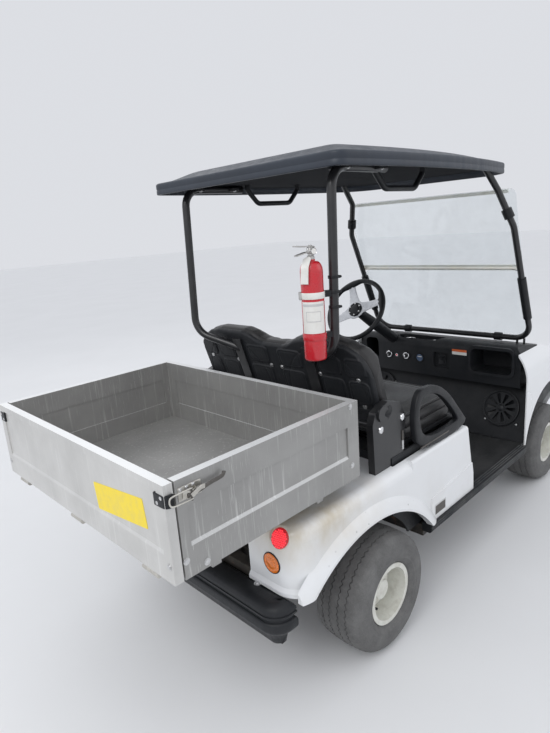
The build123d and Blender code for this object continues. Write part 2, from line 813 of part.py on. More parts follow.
# Spokes run from a dished hub out to the rim
with BuildPart() as steering_spokes:
    with BuildSketch(column_plane(-6)):
        Circle(34)
    extrude(amount=COLUMN_START + 6 - SEAT_FIT)
    for turn in SPOKE_TURNS:
        with BuildSketch(column_plane(-3)):
            with Locations(Rotation(0, 0, turn)):
                with Locations((WHEEL_RIM_R / 2, 0)):
                    Rectangle(WHEEL_RIM_R, SPOKE_WIDTH)
        extrude(amount=5)
    with BuildSketch(column_plane(-WHEEL_RIM_R)):
        Circle(WHEEL_RIM_R - WHEEL_GRIP_R - ROUND_FIT)
    extrude(amount=2 * WHEEL_RIM_R, mode=Mode.INTERSECT)
finish(steering_spokes, "steering_spokes")


# Rear body: one moulding with side panels, fenders, deck and two wheel arches
PANEL_FOOT = SILL_TOP + SEAT_FIT
PANEL_REAR = 208
FENDER_FOOT = 430
ARCH_END = ARCH_X + 280
BADGE = ((364, 362), (454, 411))
LAMP_R = 36
LAMP_DEPTH = 60
LAMPS = [("tail_lamps", 471, 622), ("turn_lamps", 437, 527)]


def tub(inset, top):
    """The rear body's outer form with round tail corners, drawn in by a wall thickness."""
    with BuildPart() as form:
        with BuildSketch(plan()):
            with Locations(((BODY_REAR + inset + BODY_FRONT) / 2, 0)):
                Rectangle(BODY_FRONT - BODY_REAR - inset, 2 * (BODY_HALF - inset))
            fillet(vertices().group_by(Axis.X)[0], TAIL_CORNER_R - inset)
        extrude(amount=top)
        fillet(faces().sort_by(Axis.Z)[-1].edges().filter_by(Axis.X), FENDER_SHOULDER_R - inset)
    return form.part


def body_outline(lip):
    """The rear body's side outline, with its tail drawn out by a lip."""
    with BuildSketch(side()) as outline:
        with BuildLine():
            Polyline(
                (BODY_REAR - lip, FENDER_FOOT),
                (BODY_REAR - lip, DECK_TOP),
                (PANEL_FRONT, DECK_TOP),
                (BODY_FRONT, 382),
                (BODY_FRONT - 6, PANEL_FOOT),
                (ARCH_END, PANEL_FOOT),
                (ARCH_END, FENDER_FOOT),
                close=True,
            )
        make_face()
    return outline.sketch


def tail_plan(grow):
    """The tail of the rear body in plan, with its round corners, grown by a lip."""
    with BuildSketch() as outline:
        with Locations(((BODY_REAR + LIP_END) / 2 - grow / 2, 0)):
            Rectangle(LIP_END - BODY_REAR + grow, 2 * (BODY_HALF + grow))
        fillet(vertices().group_by(Axis.X)[0], TAIL_CORNER_R + grow)
    return outline.sketch


WIDE = 2 * BODY_HALF
LIP_END = ARCH_X - ARCH_R / 2
rear_flares = flare(
    ARCH_X, ARCH_Z, ARCH_R, BODY_HALF, BODY_HALF - BODY_WALL, FLARE_WIDTH, FLARE_OUT
)
with BuildPart() as rear_body:
    add(tub(0, DECK_TOP))
    with BuildSketch(plan(FENDER_FOOT)):
        add(tail_plan(LIP_OUT))
    extrude(amount=LIP_HEIGHT / 2)
    with BuildSketch(plan(FENDER_FOOT + LIP_HEIGHT / 2)):
        add(tail_plan(LIP_OUT))
    with BuildSketch(plan(FENDER_FOOT + LIP_HEIGHT)):
        add(tail_plan(0))
    loft()
    with BuildSketch(across(PANEL_REAR)):
        Rectangle(2 * BODY_HALF, DECK_TOP, align=(Align.CENTER, Align.MIN))
        fillet(vertices().group_by(Axis.Y)[-1], PANEL_SHOULDER_R)
    extrude(amount=BODY_FRONT - PANEL_REAR)
    add(tub(BODY_WALL, DECK_TOP - BODY_WALL), mode=Mode.SUBTRACT)
    for y in (1, -1):
        with BuildSketch(side(y * BODY_HALF)):
            with BuildLine():
                Polyline(
                    (344, PANEL_FOOT), (344, 449), (700, 479), (BODY_FRONT - 6, PANEL_FOOT), close=True
                )
            make_face()
        extrude(amount=-y * SKIRT_OUT)
        with BuildSketch(side(y * (BODY_HALF + SKIRT_OUT))):
            with Locations(((BADGE[0][0] + BADGE[1][0]) / 2, (BADGE[0][1] + BADGE[1][1]) / 2)):
                Rectangle(BADGE[1][0] - BADGE[0][0], BADGE[1][1] - BADGE[0][1])
        extrude(amount=y * 2, mode=Mode.SUBTRACT)
    extrude(body_outline(LIP_OUT + 1), amount=WIDE, both=True, mode=Mode.INTERSECT)
    add(block(BAY_REAR, BODY_FRONT + 10, -BAY_HALF, BAY_HALF, 0, DECK_TOP + 40), mode=Mode.SUBTRACT)
    add(
        block(BODY_REAR - 20, 40, -TAIL_OPEN_HALF, TAIL_OPEN_HALF, 0, DECK_TOP + 40),
        mode=Mode.SUBTRACT,
    )
    with BuildSketch(side()):
        with Locations((ARCH_X, ARCH_Z)):
            Circle(ARCH_R)
    extrude(amount=WIDE, both=True, mode=Mode.SUBTRACT)
    with BuildPart(mode=Mode.PRIVATE) as bands:
        add(rear_flares)
        extrude(body_outline(0), amount=WIDE, both=True, mode=Mode.INTERSECT)
    add(bands.part)
    for _, y, z in LAMPS:
        with BuildSketch(across(BODY_REAR - 20)):
            with Locations((y, z), (-y, z)):
                Circle(LAMP_R + ROUND_FIT)
        extrude(amount=LAMP_DEPTH, mode=Mode.SUBTRACT)
finish(rear_body, "rear_body")


# Sills: ribbed step bars between the wheel arches
with BuildPart() as sills:
    with BuildSketch(across(SILL_REAR)):
        with BuildLine():
            Polyline(
                (SILL_IN, SILL_BOTTOM),
                (SILL_OUT - 8, SILL_BOTTOM),
                (SILL_OUT, SILL_BOTTOM + 8),
                (SILL_OUT, SILL_TOP),
                (SILL_IN, SILL_TOP),
                close=True,
            )
        make_face()
        with GridLocations(0, 10, 1, SILL_GROOVES):
            with Locations((SILL_OUT, (SILL_BOTTOM + SILL_TOP) / 2 + 3)):
                Rectangle(8, 4, mode=Mode.SUBTRACT)
    extrude(amount=SILL_FRONT - SILL_REAR)
    mirror(about=Plane.XZ)
finish(sills, "sills")


# Bench pod: black tub round the battery bay, with a shelf behind the seat
POD_WALL = 8
TYRE_ROOM = 40
POD_REAR = BAY_REAR + 6
POD_FRONT = PANEL_FRONT - 4
POD_HALF = BAY_HALF - 7
with BuildPart() as seat_pod:
    pod_foot = FLOOR_TOP + SEAT_FIT
    add(block(POD_REAR, POD_FRONT, -POD_HALF, POD_HALF, pod_foot, PAN_BOTTOM - SEAT_FIT))
    add(
        block(
            POD_REAR + POD_WALL,
            POD_FRONT - POD_WALL,
            POD_WALL - POD_HALF,
            POD_HALF - POD_WALL,
            0,
            PAN_BOTTOM - POD_WALL,
        ),
        mode=Mode.SUBTRACT,
    )
    add(
        block(
            CUSHION_REAR + 10,
            POD_FRONT - POD_WALL,
            POD_WALL - POD_HALF,
            POD_HALF - POD_WALL,
            0,
            PAN_BOTTOM,
        ),
        mode=Mode.SUBTRACT,
    )
    add(block(POD_REAR - 5, POD_REAR + 20, -TAIL_OPEN_HALF, TAIL_OPEN_HALF, 0, 600), mode=Mode.SUBTRACT)
    with BuildSketch(side()):
        with Locations((0, TYRE_R)):
            Circle(TYRE_R + TYRE_ROOM)
    extrude(amount=POD_HALF, both=True, mode=Mode.SUBTRACT)
finish(seat_pod, "seat_pod")


# Battery bank on the rails
BATTERY_REAR = 330
BATTERY_FRONT = 630
BATTERY_HALF = SPRING_Y - 30
BATTERY_HEIGHT = 290
with BuildPart() as battery_bank:
    add(
        block(
            BATTERY_REAR,
            BATTERY_FRONT,
            -BATTERY_HALF,
            BATTERY_HALF,
            RAIL_TOP + SEAT_FIT,
            RAIL_TOP + SEAT_FIT + BATTERY_HEIGHT,
        )
    )
finish(battery_bank, "battery_bank")


# Bench lid: pan and cushion hinged along the front edge
with BuildPart() as seat_pan:
    add(
        block(
            CUSHION_REAR + 2,
            CUSHION_FRONT - 4,
            -SEAT_HALF - 4,
            SEAT_HALF + 4,
            PAN_BOTTOM,
            PAN_BOTTOM + PAN_WALL,
        )
    )
finish(seat_pan, "seat_pan")

CUSHION_BOTTOM = PAN_BOTTOM + PAN_WALL + SEAT_FIT
with BuildPart() as seat_cushion:
    add(
        block(
            CUSHION_REAR,
            CUSHION_FRONT,
            -SEAT_HALF,
            SEAT_HALF,
            CUSHION_BOTTOM,
            CUSHION_BOTTOM + CUSHION_THICK,
        )
    )
    fillet(edges().group_by(Axis.Z)[-1], 28)
finish(seat_cushion, "seat_cushion")


# Bench back: moulded shell with raised pads, two lobes on top, and its cushion
lean = math.radians(BACK_LEAN)
back_normal = Vector(math.cos(lean), 0, math.sin(lean))


def back_plane(forward=0.0):
    """The seat back's leaning plane: Y to the left, then up along the back."""
    foot = Vector(REAR_X + BACK_FOOT_X, 0, BACK_FOOT_Z)
    return Plane(origin=foot + back_normal * forward, x_dir=(0, 1, 0), z_dir=back_normal)


def back_outline(inset):
    """Half-lobed outline of the back, with a dip between the two seats."""
    top = BACK_HEIGHT - inset
    half = SEAT_HALF - inset
    with BuildSketch() as outline:
        with BuildLine():
            Polyline(
                (-half, inset),
                (-half - 2, top * 0.62),
                (-half + 34, top * 0.9),
                (-half + 140, top),
                (-134, top),
                (-62, top - 42),
                (62, top - 42),
                (134, top),
                (half - 140, top),
                (half - 34, top * 0.9),
                (half + 2, top * 0.62),
                (half, inset),
                close=True,
            )
        make_face()
        fillet(vertices(), 22)
    return outline.sketch


RIB_HEIGHT = 5
STRAP_Y = SEAT_HALF - 272
STRAP_WIDTH = 50
STRAP_WALL = 8
PAD_COLUMNS = [(0.195, 0.275), (0.619, 0.246), (0.873, 0.203)]
PAD_ROWS = [(72, 96), (186, 104), (292, 84)]
with BuildPart() as seat_back_shell:
    with BuildSketch(back_plane()):
        add(back_outline(0))
    extrude(amount=BACK_SHELL)
    with BuildSketch(back_plane()):
        for pad_y, width in PAD_COLUMNS:
            for pad_z, height in PAD_ROWS:
                with Locations((pad_y * SEAT_HALF, pad_z), (-pad_y * SEAT_HALF, pad_z)):
                    RectangleRounded(width * SEAT_HALF, height, 16)
    extrude(amount=-RIB_HEIGHT)
finish(seat_back_shell, "seat_back_shell")

with BuildPart() as seat_back_cushion:
    with BuildSketch(back_plane(BACK_SHELL + SEAT_FIT)):
        add(back_outline(3))
    extrude(amount=BACK_PAD)
    fillet(edges().group_by(Axis((0, 0, 0), back_normal))[-1], 20)
finish(seat_back_cushion, "seat_back_cushion")


# Bench back carriers: two straps down the shell, side cheeks with their caps and the tube
CHEEK_ROOM = 4
CHEEK_WALL = 28
CHEEK_Y = SEAT_HALF + CHEEK_ROOM + CHEEK_WALL / 2
CHEEK_EDGE = ((75, 0), (92, 132), (56, 202), (-20, 226), (-100, 202), (-118, 160))
CHEEK_CAP = (BACK_FOOT_X - 60, PAN_BOTTOM + 190)
CHEEK_CAP_R = 30
CHEEK_TUBE = (BACK_FOOT_X - 92, PAN_BOTTOM + 148)
CHEEK_TUBE_R = 12
STRAP_FOOT = (PAN_BOTTOM - BACK_FOOT_Z + (STRAP_WALL + SEAT_FIT) * math.sin(lean)) / math.cos(lean)
STRAP_HEAD = 352
with BuildPart() as seat_brackets:
    with BuildSketch(back_plane(-SEAT_FIT)):
        with Locations((STRAP_Y, (STRAP_FOOT + STRAP_HEAD) / 2), (-STRAP_Y, (STRAP_FOOT + STRAP_HEAD) / 2)):
            Rectangle(STRAP_WIDTH, STRAP_HEAD - STRAP_FOOT)
    extrude(amount=-STRAP_WALL)
    for y in (1, -1):
        with BuildSketch(side(y * CHEEK_Y)):
            with BuildLine():
                Polyline(
                    (BACK_FOOT_X - 110, DECK_TOP + SEAT_FIT),
                    (BAY_REAR - 1, DECK_TOP + SEAT_FIT),
                    (BAY_REAR - 1, PAN_BOTTOM),
                    *[(BACK_FOOT_X + x, PAN_BOTTOM + z) for x, z in CHEEK_EDGE],
                    close=True,
                )
            make_face()
            fillet(vertices().group_by(Axis.Y)[3:], 18)
        extrude(amount=CHEEK_WALL / 2, both=True)
        with BuildSketch(side(y * (CHEEK_Y + CHEEK_WALL / 2))):
            with Locations(CHEEK_CAP):
                Circle(CHEEK_CAP_R)
        extrude(amount=-y * 8)
    with BuildSketch(side(CHEEK_WALL / 2 - CHEEK_Y + SEAT_FIT)):
        with Locations(CHEEK_TUBE):
            Circle(CHEEK_TUBE_R)
    extrude(amount=CHEEK_WALL - 2 * CHEEK_Y + 2 * SEAT_FIT)
finish(seat_brackets, "seat_brackets")


# Armrests: moulded loops with a deep foot, on top of each side panel
ARM_WIDTH = 32
ARM_Y = CHEEK_Y + CHEEK_WALL / 2 + CHEEK_ROOM + ARM_WIDTH / 2
ARM_OUTLINE = [(275, 0), (236, 150), (268, 250), (320, 259), (408, 250), (503, 193), (605, 88), (690, 0)]
ARM_OPENING = [(322, 44), (286, 150), (308, 209), (330, 217), (398, 208), (474, 162), (582, 50), (560, 44)]
with BuildPart() as armrests:
    for y in (ARM_Y, -ARM_Y):
        with BuildSketch(side(y)):
            with BuildLine():
                Polyline(*[(x, DECK_TOP + SEAT_FIT + z) for x, z in ARM_OUTLINE], close=True)
            make_face()
            fillet(vertices().sort_by(Axis.Y)[2:], 24)
            with BuildLine():
                Polyline(*[(x, DECK_TOP + SEAT_FIT + z) for x, z in ARM_OPENING], close=True)
            make_face(mode=Mode.SUBTRACT)
        extrude(amount=ARM_WIDTH / 2, both=True)
finish(armrests, "armrests")


# Roof: rimmed canopy that widens behind the front struts, with a raised centre
def roof_outline(inset):
    """The roof in plan, drawn in by an even margin."""
    with BuildSketch() as outline:
        with BuildLine():
            right = [(ROOF_FRONT - back, drawn_in - ROOF_HALF) for back, drawn_in in ROOF_PLAN]
            left = [(x, -y) for x, y in reversed(right)]
            Line((ROOF_REAR, ROOF_HALF - 35), (ROOF_REAR, 35 - ROOF_HALF))
            ThreePointArc((ROOF_REAR, 35 - ROOF_HALF), *right[:2])
            ThreePointArc(*right[1:])
            Line(right[-1], left[0])
            ThreePointArc(*left[:3])
            ThreePointArc(*left[2:], (ROOF_REAR, ROOF_HALF - 35))
        make_face()
        fillet(vertices().group_by(Axis.X)[0], 40)
        if inset:
            offset(amount=-inset, kind=Kind.INTERSECTION)
    return outline.sketch


with BuildPart() as roof_canopy:
    with BuildSketch(plan(ROOF_BOTTOM)):
        add(roof_outline(0))
    extrude(amount=ROOF_RIM)
    with BuildSketch(plan(ROOF_BOTTOM + ROOF_RIM)):
        add(roof_outline(30))
    with BuildSketch(plan(ROOF_TOP)):
        add(roof_outline(150))
    loft()
    with BuildSketch(plan(ROOF_BOTTOM)):
        add(roof_outline(ROOF_WALL))
    extrude(amount=CEILING - ROOF_BOTTOM, mode=Mode.SUBTRACT)
finish(roof_canopy, "roof_canopy")


# Rear struts: from under the roof down to the seat back's straps
STRUT_TOP = CEILING - TUBE_R - SEAT_FIT
with BuildPart() as rear_struts:
    for y in (1, -1):
        add(
            tube(
                [
                    (300, y * (STRUT_Y - 8), STRUT_TOP),
                    (-12, y * STRUT_Y, STRUT_TOP),
                    (-31, y * STRUT_Y, 1120),
                    (60, y * STRAP_Y, 1046),
                ],
                [70, 90],
                TUBE_R,
            )
        )
    with BuildSketch(back_plane(-STRAP_WALL - 2 * SEAT_FIT)):
        with Locations((0, STRAP_HEAD / 2)):
            Rectangle(4 * STRAP_Y, STRAP_HEAD)
    extrude(amount=4 * TUBE_R, mode=Mode.SUBTRACT)
finish(rear_struts, "rear_struts")


# Windscreen frame: one bent tube, with four posts down to the dashboard
SCREEN_FOOT = (COWL_REAR + 212, COWL_TOP + 8)
SCREEN_KINK = (COWL_REAR - 67, ROOF_BOTTOM - 243)
SCREEN_BEND = (COWL_REAR - 124, SCREEN_Y - 58, ROOF_BOTTOM - 70)
SCREEN_POSTS = (34, 71)
dash_slope = 26 / (DASH_BACK - DASH_FACE - 46)
with BuildPart() as windscreen_frame:
    half = [
        (COWL_REAR - 233, SCREEN_Y - 78, CEILING + 10),
        SCREEN_BEND,
        (SCREEN_KINK[0], SCREEN_Y, SCREEN_KINK[1]),
        (SCREEN_FOOT[0], SCREEN_Y, SCREEN_FOOT[1]),
    ]
    add(
        tube(
            half + [(x, -y, z) for x, y, z in reversed(half)],
            [50, 90, 90, 90, 90, 50],
            SCREEN_TUBE_R,
        )
    )
    add(
        block(0, COWL_REAR, -ROOF_HALF, ROOF_HALF, CEILING - SEAT_FIT, ROOF_TOP), mode=Mode.SUBTRACT
    )
    post_foot = COWL_TOP - 4 - (SCREEN_FOOT[0] - DASH_FACE - 46) * dash_slope + 1
    with BuildSketch(plan(post_foot)):
        for drawn_in in SCREEN_POSTS:
            with Locations((SCREEN_FOOT[0], SCREEN_Y - drawn_in), (SCREEN_FOOT[0], drawn_in - SCREEN_Y)):
                Circle(6)
    extrude(amount=SCREEN_FOOT[1] - post_foot)
finish(windscreen_frame, "windscreen_frame")


# Windscreen: lower and upper sheets in front of the tubes, with edge strips
screen_dir = Vector(SCREEN_FOOT[0] - SCREEN_KINK[0], 0, SCREEN_FOOT[1] - SCREEN_KINK[1]).normalized()
screen_normal = Vector(-screen_dir.Z, 0, screen_dir.X)
HINGE_Z = SCREEN_KINK[1] - 211
screen_hinge = Vector(
    REAR_X
    + SCREEN_KINK[0]
    + (SCREEN_KINK[1] - HINGE_Z) * (SCREEN_FOOT[0] - SCREEN_KINK[0]) / (SCREEN_KINK[1] - SCREEN_FOOT[1]),
    0,
    HINGE_Z,
)
GLASS_FRONT = SCREEN_TUBE_R + SEAT_FIT


def screen_plane(forward):
    """The sloping plane of the struts, Y to the left and up along the struts."""
    return Plane(
        origin=screen_hinge + screen_normal * forward, x_dir=(0, 1, 0), z_dir=screen_normal
    )


lower_foot = Vector(REAR_X + SCREEN_FOOT[0], 0, SCREEN_FOOT[1])
LOWER_DROP = (lower_foot - screen_hinge).length - 8
upper_foot = screen_hinge + screen_normal * GLASS_FRONT
upper_head = Vector(REAR_X + COWL_REAR - 78, 0, ROOF_BOTTOM - 68)
UPPER_RISE = (upper_head - upper_foot).length
upper_dir = (upper_head - upper_foot).normalized()
upper_normal = Vector(upper_dir.Z, 0, -upper_dir.X)


def upper_plane(forward):
    """The upper sheet's steeper plane, hinged on the lower sheet's top edge."""
    return Plane(origin=upper_foot + upper_normal * forward, x_dir=(0, 1, 0), z_dir=upper_normal)


with BuildPart() as windscreen_lower:
    with BuildSketch(screen_plane(GLASS_FRONT)):
        with Locations((0, -LOWER_DROP / 2 - 4)):
            RectangleRounded(2 * SCREEN_Y + 10, LOWER_DROP - 8, 60)
    extrude(amount=GLASS)
finish(windscreen_lower, "windscreen_lower")

with BuildPart() as windscreen_upper:
    with BuildSketch(upper_plane(0)):
        with Locations((0, UPPER_RISE / 2 + 4)):
            RectangleRounded(2 * SCREEN_Y + 10, UPPER_RISE - 8, 30)
    extrude(amount=GLASS)
finish(windscreen_upper, "windscreen_upper")

STRIP_WIDTH = 18
with BuildPart() as windscreen_strips:
    with BuildSketch(screen_plane(GLASS_FRONT + GLASS + SEAT_FIT)):
        with Locations((0, -STRIP_WIDTH / 2 + 2)):
            Rectangle(2 * SCREEN_Y, STRIP_WIDTH)
    extrude(amount=4)
    with BuildSketch(upper_plane(GLASS + SEAT_FIT)):
        with Locations((0, STRIP_WIDTH / 2 - 2)):
            Rectangle(2 * SCREEN_Y, STRIP_WIDTH)
    extrude(amount=4)
    with BuildSketch(upper_plane(GLASS + SEAT_FIT)):
        with Locations((0, UPPER_RISE - 12)):
            Rectangle(2 * SCREEN_Y - 60, 16)
    extrude(amount=4)
finish(windscreen_strips, "windscreen_strips")

# Black sleeves and catches on the screen's struts, and two saddles over its bottom bar
SLEEVE_DROP = 50
SLEEVE_LENGTH = 240
SADDLES_Y = (268, -303)
with BuildPart() as windscreen_clips:
    for y in (1, -1):
        sleeve = screen_hinge + screen_dir * SLEEVE_DROP + Vector(0, y * SCREEN_Y, 0)
        bend = Vector(REAR_X + SCREEN_BEND[0], y * SCREEN_BEND[1], SCREEN_BEND[2])
        kink = Vector(REAR_X + SCREEN_KINK[0], y * SCREEN_Y, SCREEN_KINK[1])
        catch = bend + (kink - bend) * 0.52
        for start, along, length, radius in (
            (sleeve, screen_dir, SLEEVE_LENGTH, 21),
            (catch, (kink - bend).normalized(), 44, 24),
        ):
            with BuildSketch(Plane(origin=start, z_dir=along)):
                Circle(radius)
                Circle(SCREEN_TUBE_R + ROUND_FIT, mode=Mode.SUBTRACT)
            extrude(amount=length)
    for y in SADDLES_Y:
        with BuildSketch(side(y)):
            with Locations(SCREEN_FOOT):
                Circle(SCREEN_TUBE_R + 7)
                Circle(SCREEN_TUBE_R + ROUND_FIT, mode=Mode.SUBTRACT)
        extrude(amount=20, both=True)
    for sheet, middle, height in (
        (screen_plane(SCREEN_TUBE_R), -LOWER_DROP, LOWER_DROP),
        (upper_plane(-SEAT_FIT), UPPER_RISE, UPPER_RISE),
    ):
        with BuildSketch(sheet):
            with Locations((0, middle)):
                Rectangle(3 * SCREEN_Y, 2 * height)
        extrude(amount=100, mode=Mode.SUBTRACT)
finish(windscreen_clips, "windscreen_clips")


# Grab handles under the roof
HANDLE_Y = ROOF_HALF - 185
with BuildPart() as roof_handles:
    for y in (HANDLE_Y, -HANDLE_Y):
        add(
            tube(
                [
                    (300, y, CEILING - SEAT_FIT),
                    (300, y, CEILING - 23),
                    (360, y, CEILING - 82),
                    (570, y, CEILING - 82),
                    (630, y, CEILING - 23),
                    (630, y, CEILING - SEAT_FIT),
                ],
                [14, 40, 40, 14],
                11,
            )
        )
finish(roof_handles, "roof_handles")


# Fire extinguisher on the right rear strut
EXT_R = 38
EXT_X = -95
EXT_Y = -362
EXT_FOOT = 1102
EXT_BODY = 300
ext_axis = Axis((REAR_X + EXT_X, EXT_Y, 0), (0, 0, 1))
ext_plane = Plane(origin=(REAR_X + EXT_X, EXT_Y, EXT_FOOT), x_dir=(1, 0, 0), z_dir=(0, -1, 0))
with BuildPart() as extinguisher:
    with BuildSketch(ext_plane):
        with BuildLine():
            Polyline((0, 0), (EXT_R - 6, 0), (EXT_R, 6), (EXT_R, EXT_BODY))
            ThreePointArc((EXT_R, EXT_BODY), (EXT_R * 0.76, EXT_BODY + 22), (14, EXT_BODY + 34))
            Polyline((14, EXT_BODY + 34), (0, EXT_BODY + 34), (0, 0))
        make_face()
    revolve(axis=ext_axis)
finish(extinguisher, "extinguisher")

with BuildPart() as extinguisher_fittings:
    top = EXT_FOOT + EXT_BODY + 34 + SEAT_FIT
    with BuildSketch(plan(top)):
        with Locations((EXT_X, EXT_Y)):
            Circle(12)
    extrude(amount=40)
    add(block(EXT_X - 70, EXT_X + 14, EXT_Y - 8, EXT_Y + 8, top + 18, top + 28))
    add(block(EXT_X - 74, EXT_X + 14, EXT_Y - 9, EXT_Y + 9, top + 40, top + 50))
    for z in (EXT_FOOT + 70, EXT_FOOT + 235):
        with BuildSketch(plan(z)):
            with Locations((EXT_X, EXT_Y)):
                Circle(EXT_R + SEAT_FIT + 3)
            with Locations((EXT_X + 52, EXT_Y - 26)):
                Rectangle(60, 22, rotation=-27)
            with Locations((EXT_X, EXT_Y)):
                Circle(EXT_R + ROUND_FIT, mode=Mode.SUBTRACT)
            with Locations((-31 + (z - 1120) * 0.032, -STRUT_Y)):
                Circle(TUBE_R + 2 * ROUND_FIT, mode=Mode.SUBTRACT)
        extrude(amount=22)
finish(extinguisher_fittings, "extinguisher_fittings")


# Cargo box: rails, floor, two sides and a front wall of recessed aluminium planks
SIDE_REAR = BOX_REAR + BOX_WALL + GATE_GAP
INNER_HALF = BOX_HALF - BOX_WALL
BOX_RAIL_END = 14
with BuildPart() as box_rails:
    for y in (RAIL_Y, -RAIL_Y):
        add(
            block(
                SIDE_REAR + BOX_RAIL_END,
                BOX_FRONT - BOX_RAIL_END,
                y - RAIL_WIDTH / 2,
                y + RAIL_WIDTH / 2,
                BOX_BOTTOM - BOX_RAIL_HEIGHT + SEAT_FIT,
                BOX_BOTTOM - SEAT_FIT,
            )
        )
    for x in (-700, -280):
        for y0, y1 in (
            (-INNER_HALF, -BESIDE_RAILS),
            (-BETWEEN_RAILS, BETWEEN_RAILS),
            (BESIDE_RAILS, INNER_HALF),
        ):
            add(block(x - 15, x + 15, y0, y1, BOX_BOTTOM - 30, BOX_BOTTOM - SEAT_FIT))
finish(box_rails, "box_rails")

with BuildPart() as box_floor:
    add(
        block(
            SIDE_REAR,
            BOX_FRONT - BOX_WALL - SEAT_FIT,
            SEAT_FIT - INNER_HALF,
            INNER_HALF - SEAT_FIT,
            BOX_BOTTOM,
            BOX_BOTTOM + BOX_FLOOR,
        )
    )
finish(box_floor, "box_floor")

PANEL_HEIGHT = PANEL_Z[1] - PANEL_Z[0]
for name, y in (("left", 1), ("right", -1)):
    with BuildPart() as box_side:
        reach = sorted((y * INNER_HALF, y * BOX_HALF))
        add(block(SIDE_REAR, BOX_FRONT, *reach, BOX_BOTTOM, BOX_TOP))
        with BuildSketch(across(SIDE_REAR + PANEL_MARGIN / 2)):
            with BuildLine():
                Polyline(
                    (y * (BOX_HALF + 1), PANEL_Z[0] - LEDGE / PANEL_RECESS),
                    (y * (BOX_HALF - PANEL_RECESS), PANEL_Z[0] + LEDGE),
                    (y * (BOX_HALF - PANEL_RECESS), PANEL_Z[1]),
                    (y * (BOX_HALF + 1), PANEL_Z[1]),
                    close=True,
                )
            make_face()
        extrude(amount=BOX_FRONT - SIDE_REAR - 1.5 * PANEL_MARGIN, mode=Mode.SUBTRACT)
        with BuildSketch(side(y * INNER_HALF)):
            with Locations(((SIDE_REAR + BOX_FRONT) / 2, sum(PANEL_Z) / 2)):
                Rectangle(BOX_FRONT - SIDE_REAR - 2 * PANEL_MARGIN, PANEL_HEIGHT)
        extrude(amount=-y * PANEL_RECESS / 2, mode=Mode.SUBTRACT)
    finish(box_side, f"box_side_{name}")

with BuildPart() as box_front:
    add(
        block(
            BOX_FRONT - BOX_WALL,
            BOX_FRONT,
            SEAT_FIT - INNER_HALF,
            INNER_HALF - SEAT_FIT,
            BOX_BOTTOM,
            BOX_TOP,
        )
    )
    with BuildSketch(across(BOX_FRONT - BOX_WALL)):
        with Locations((0, sum(PANEL_Z) / 2)):
            Rectangle(2 * (INNER_HALF - PANEL_MARGIN), PANEL_HEIGHT)
    extrude(amount=PANEL_RECESS / 2, mode=Mode.SUBTRACT)
finish(box_front, "box_front")

# Tailgate whose upper panel lies back over a sloped step, between two flush corner bands
GATE_STEP = 4
GATE_BAND = 33
with BuildPart() as tailgate:
    add(block(BOX_REAR, BOX_REAR + BOX_WALL, -BOX_HALF, BOX_HALF, BOX_BOTTOM, BOX_TOP))
    with BuildSketch(side()):
        with BuildLine():
            Polyline(
                (BOX_REAR - 1, PANEL_Z[0] - LEDGE - LEDGE / GATE_STEP),
                (BOX_REAR + GATE_STEP, PANEL_Z[0]),
                (BOX_REAR + GATE_STEP, BOX_TOP - 22),
                (BOX_REAR - 1, BOX_TOP - 22),
                close=True,
            )
        make_face()
    extrude(amount=BOX_HALF - GATE_BAND, both=True, mode=Mode.SUBTRACT)
    with BuildSketch(across(BOX_REAR + BOX_WALL)):
        with Locations((0, sum(PANEL_Z) / 2)):
            Rectangle(2 * (INNER_HALF - PANEL_MARGIN), PANEL_HEIGHT)
    extrude(amount=-PANEL_RECESS / 2, mode=Mode.SUBTRACT)
finish(tailgate, "tailgate")

KEEPER_Z = (928, 962)
with BuildPart() as gate_keepers:
    for y in (1, -1):
        outboard = sorted((y * (BOX_HALF + SEAT_FIT), y * (BOX_HALF + 7)))
        around = sorted((y * (BOX_HALF - 42), y * (BOX_HALF + 7)))
        add(block(-REAR_OVERHANG, BOX_REAR + BOX_WALL - 4, *outboard, *KEEPER_Z))
        add(block(-REAR_OVERHANG, BOX_REAR - SEAT_FIT, *around, *KEEPER_Z))
finish(gate_keepers, "gate_keepers")

HINGE_R = 9
HINGE_X = BOX_REAR + 7
HINGE_PLACES = (-420, 0, 420)
with BuildPart() as gate_hinges:
    for y in HINGE_PLACES:
        with BuildSketch(side(y)):
            with Locations((HINGE_X, BOX_BOTTOM - HINGE_R)):
                Circle(HINGE_R - SEAT_FIT)
        extrude(amount=35, both=True)
        add(
            block(
                HINGE_X,
                SIDE_REAR + 45,
                y - 35,
                y + 35,
                BOX_BOTTOM - 8,
                BOX_BOTTOM - SEAT_FIT,
            )
        )
finish(gate_hinges, "gate_hinges")

# Draw latches: base, wire loop over the keeper and lever
LATCH_Z = (KEEPER_Z[0] + KEEPER_Z[1]) / 2
with BuildPart() as latches:
    for y in (1, -1):
        skin = sorted((y * (BOX_HALF + SEAT_FIT), y * (BOX_HALF + 4)))
        barrel = sorted((y * (BOX_HALF + 3), y * (BOX_HALF + 20)))
        lever = sorted((y * (BOX_HALF + 3), y * (BOX_HALF + 12)))
        loop = sorted((y * (BOX_HALF + 13), y * (BOX_HALF + 17)))
        for x0, x1, reach, z0, z1 in (
            (39, 105, skin, -17, 17),
            (47, 71, barrel, -12, 12),
            (67, 157, lever, -5, 5),
            (5, 57, loop, -12, -8),
            (5, 57, loop, 8, 12),
            (5, 9, loop, -12, 12),
        ):
            add(block(BOX_REAR + x0, BOX_REAR + x1, *reach, LATCH_Z + z0, LATCH_Z + z1))
finish(latches, "latches")


# Rear lamps and bumpers
for name, y, z in LAMPS:
    with BuildPart() as lamps:
        with BuildSketch(across(BODY_REAR - 12)):
            with Locations((y, z), (-y, z)):
                Circle(LAMP_R)
        extrude(amount=LAMP_DEPTH - 12)
    finish(lamps, name)

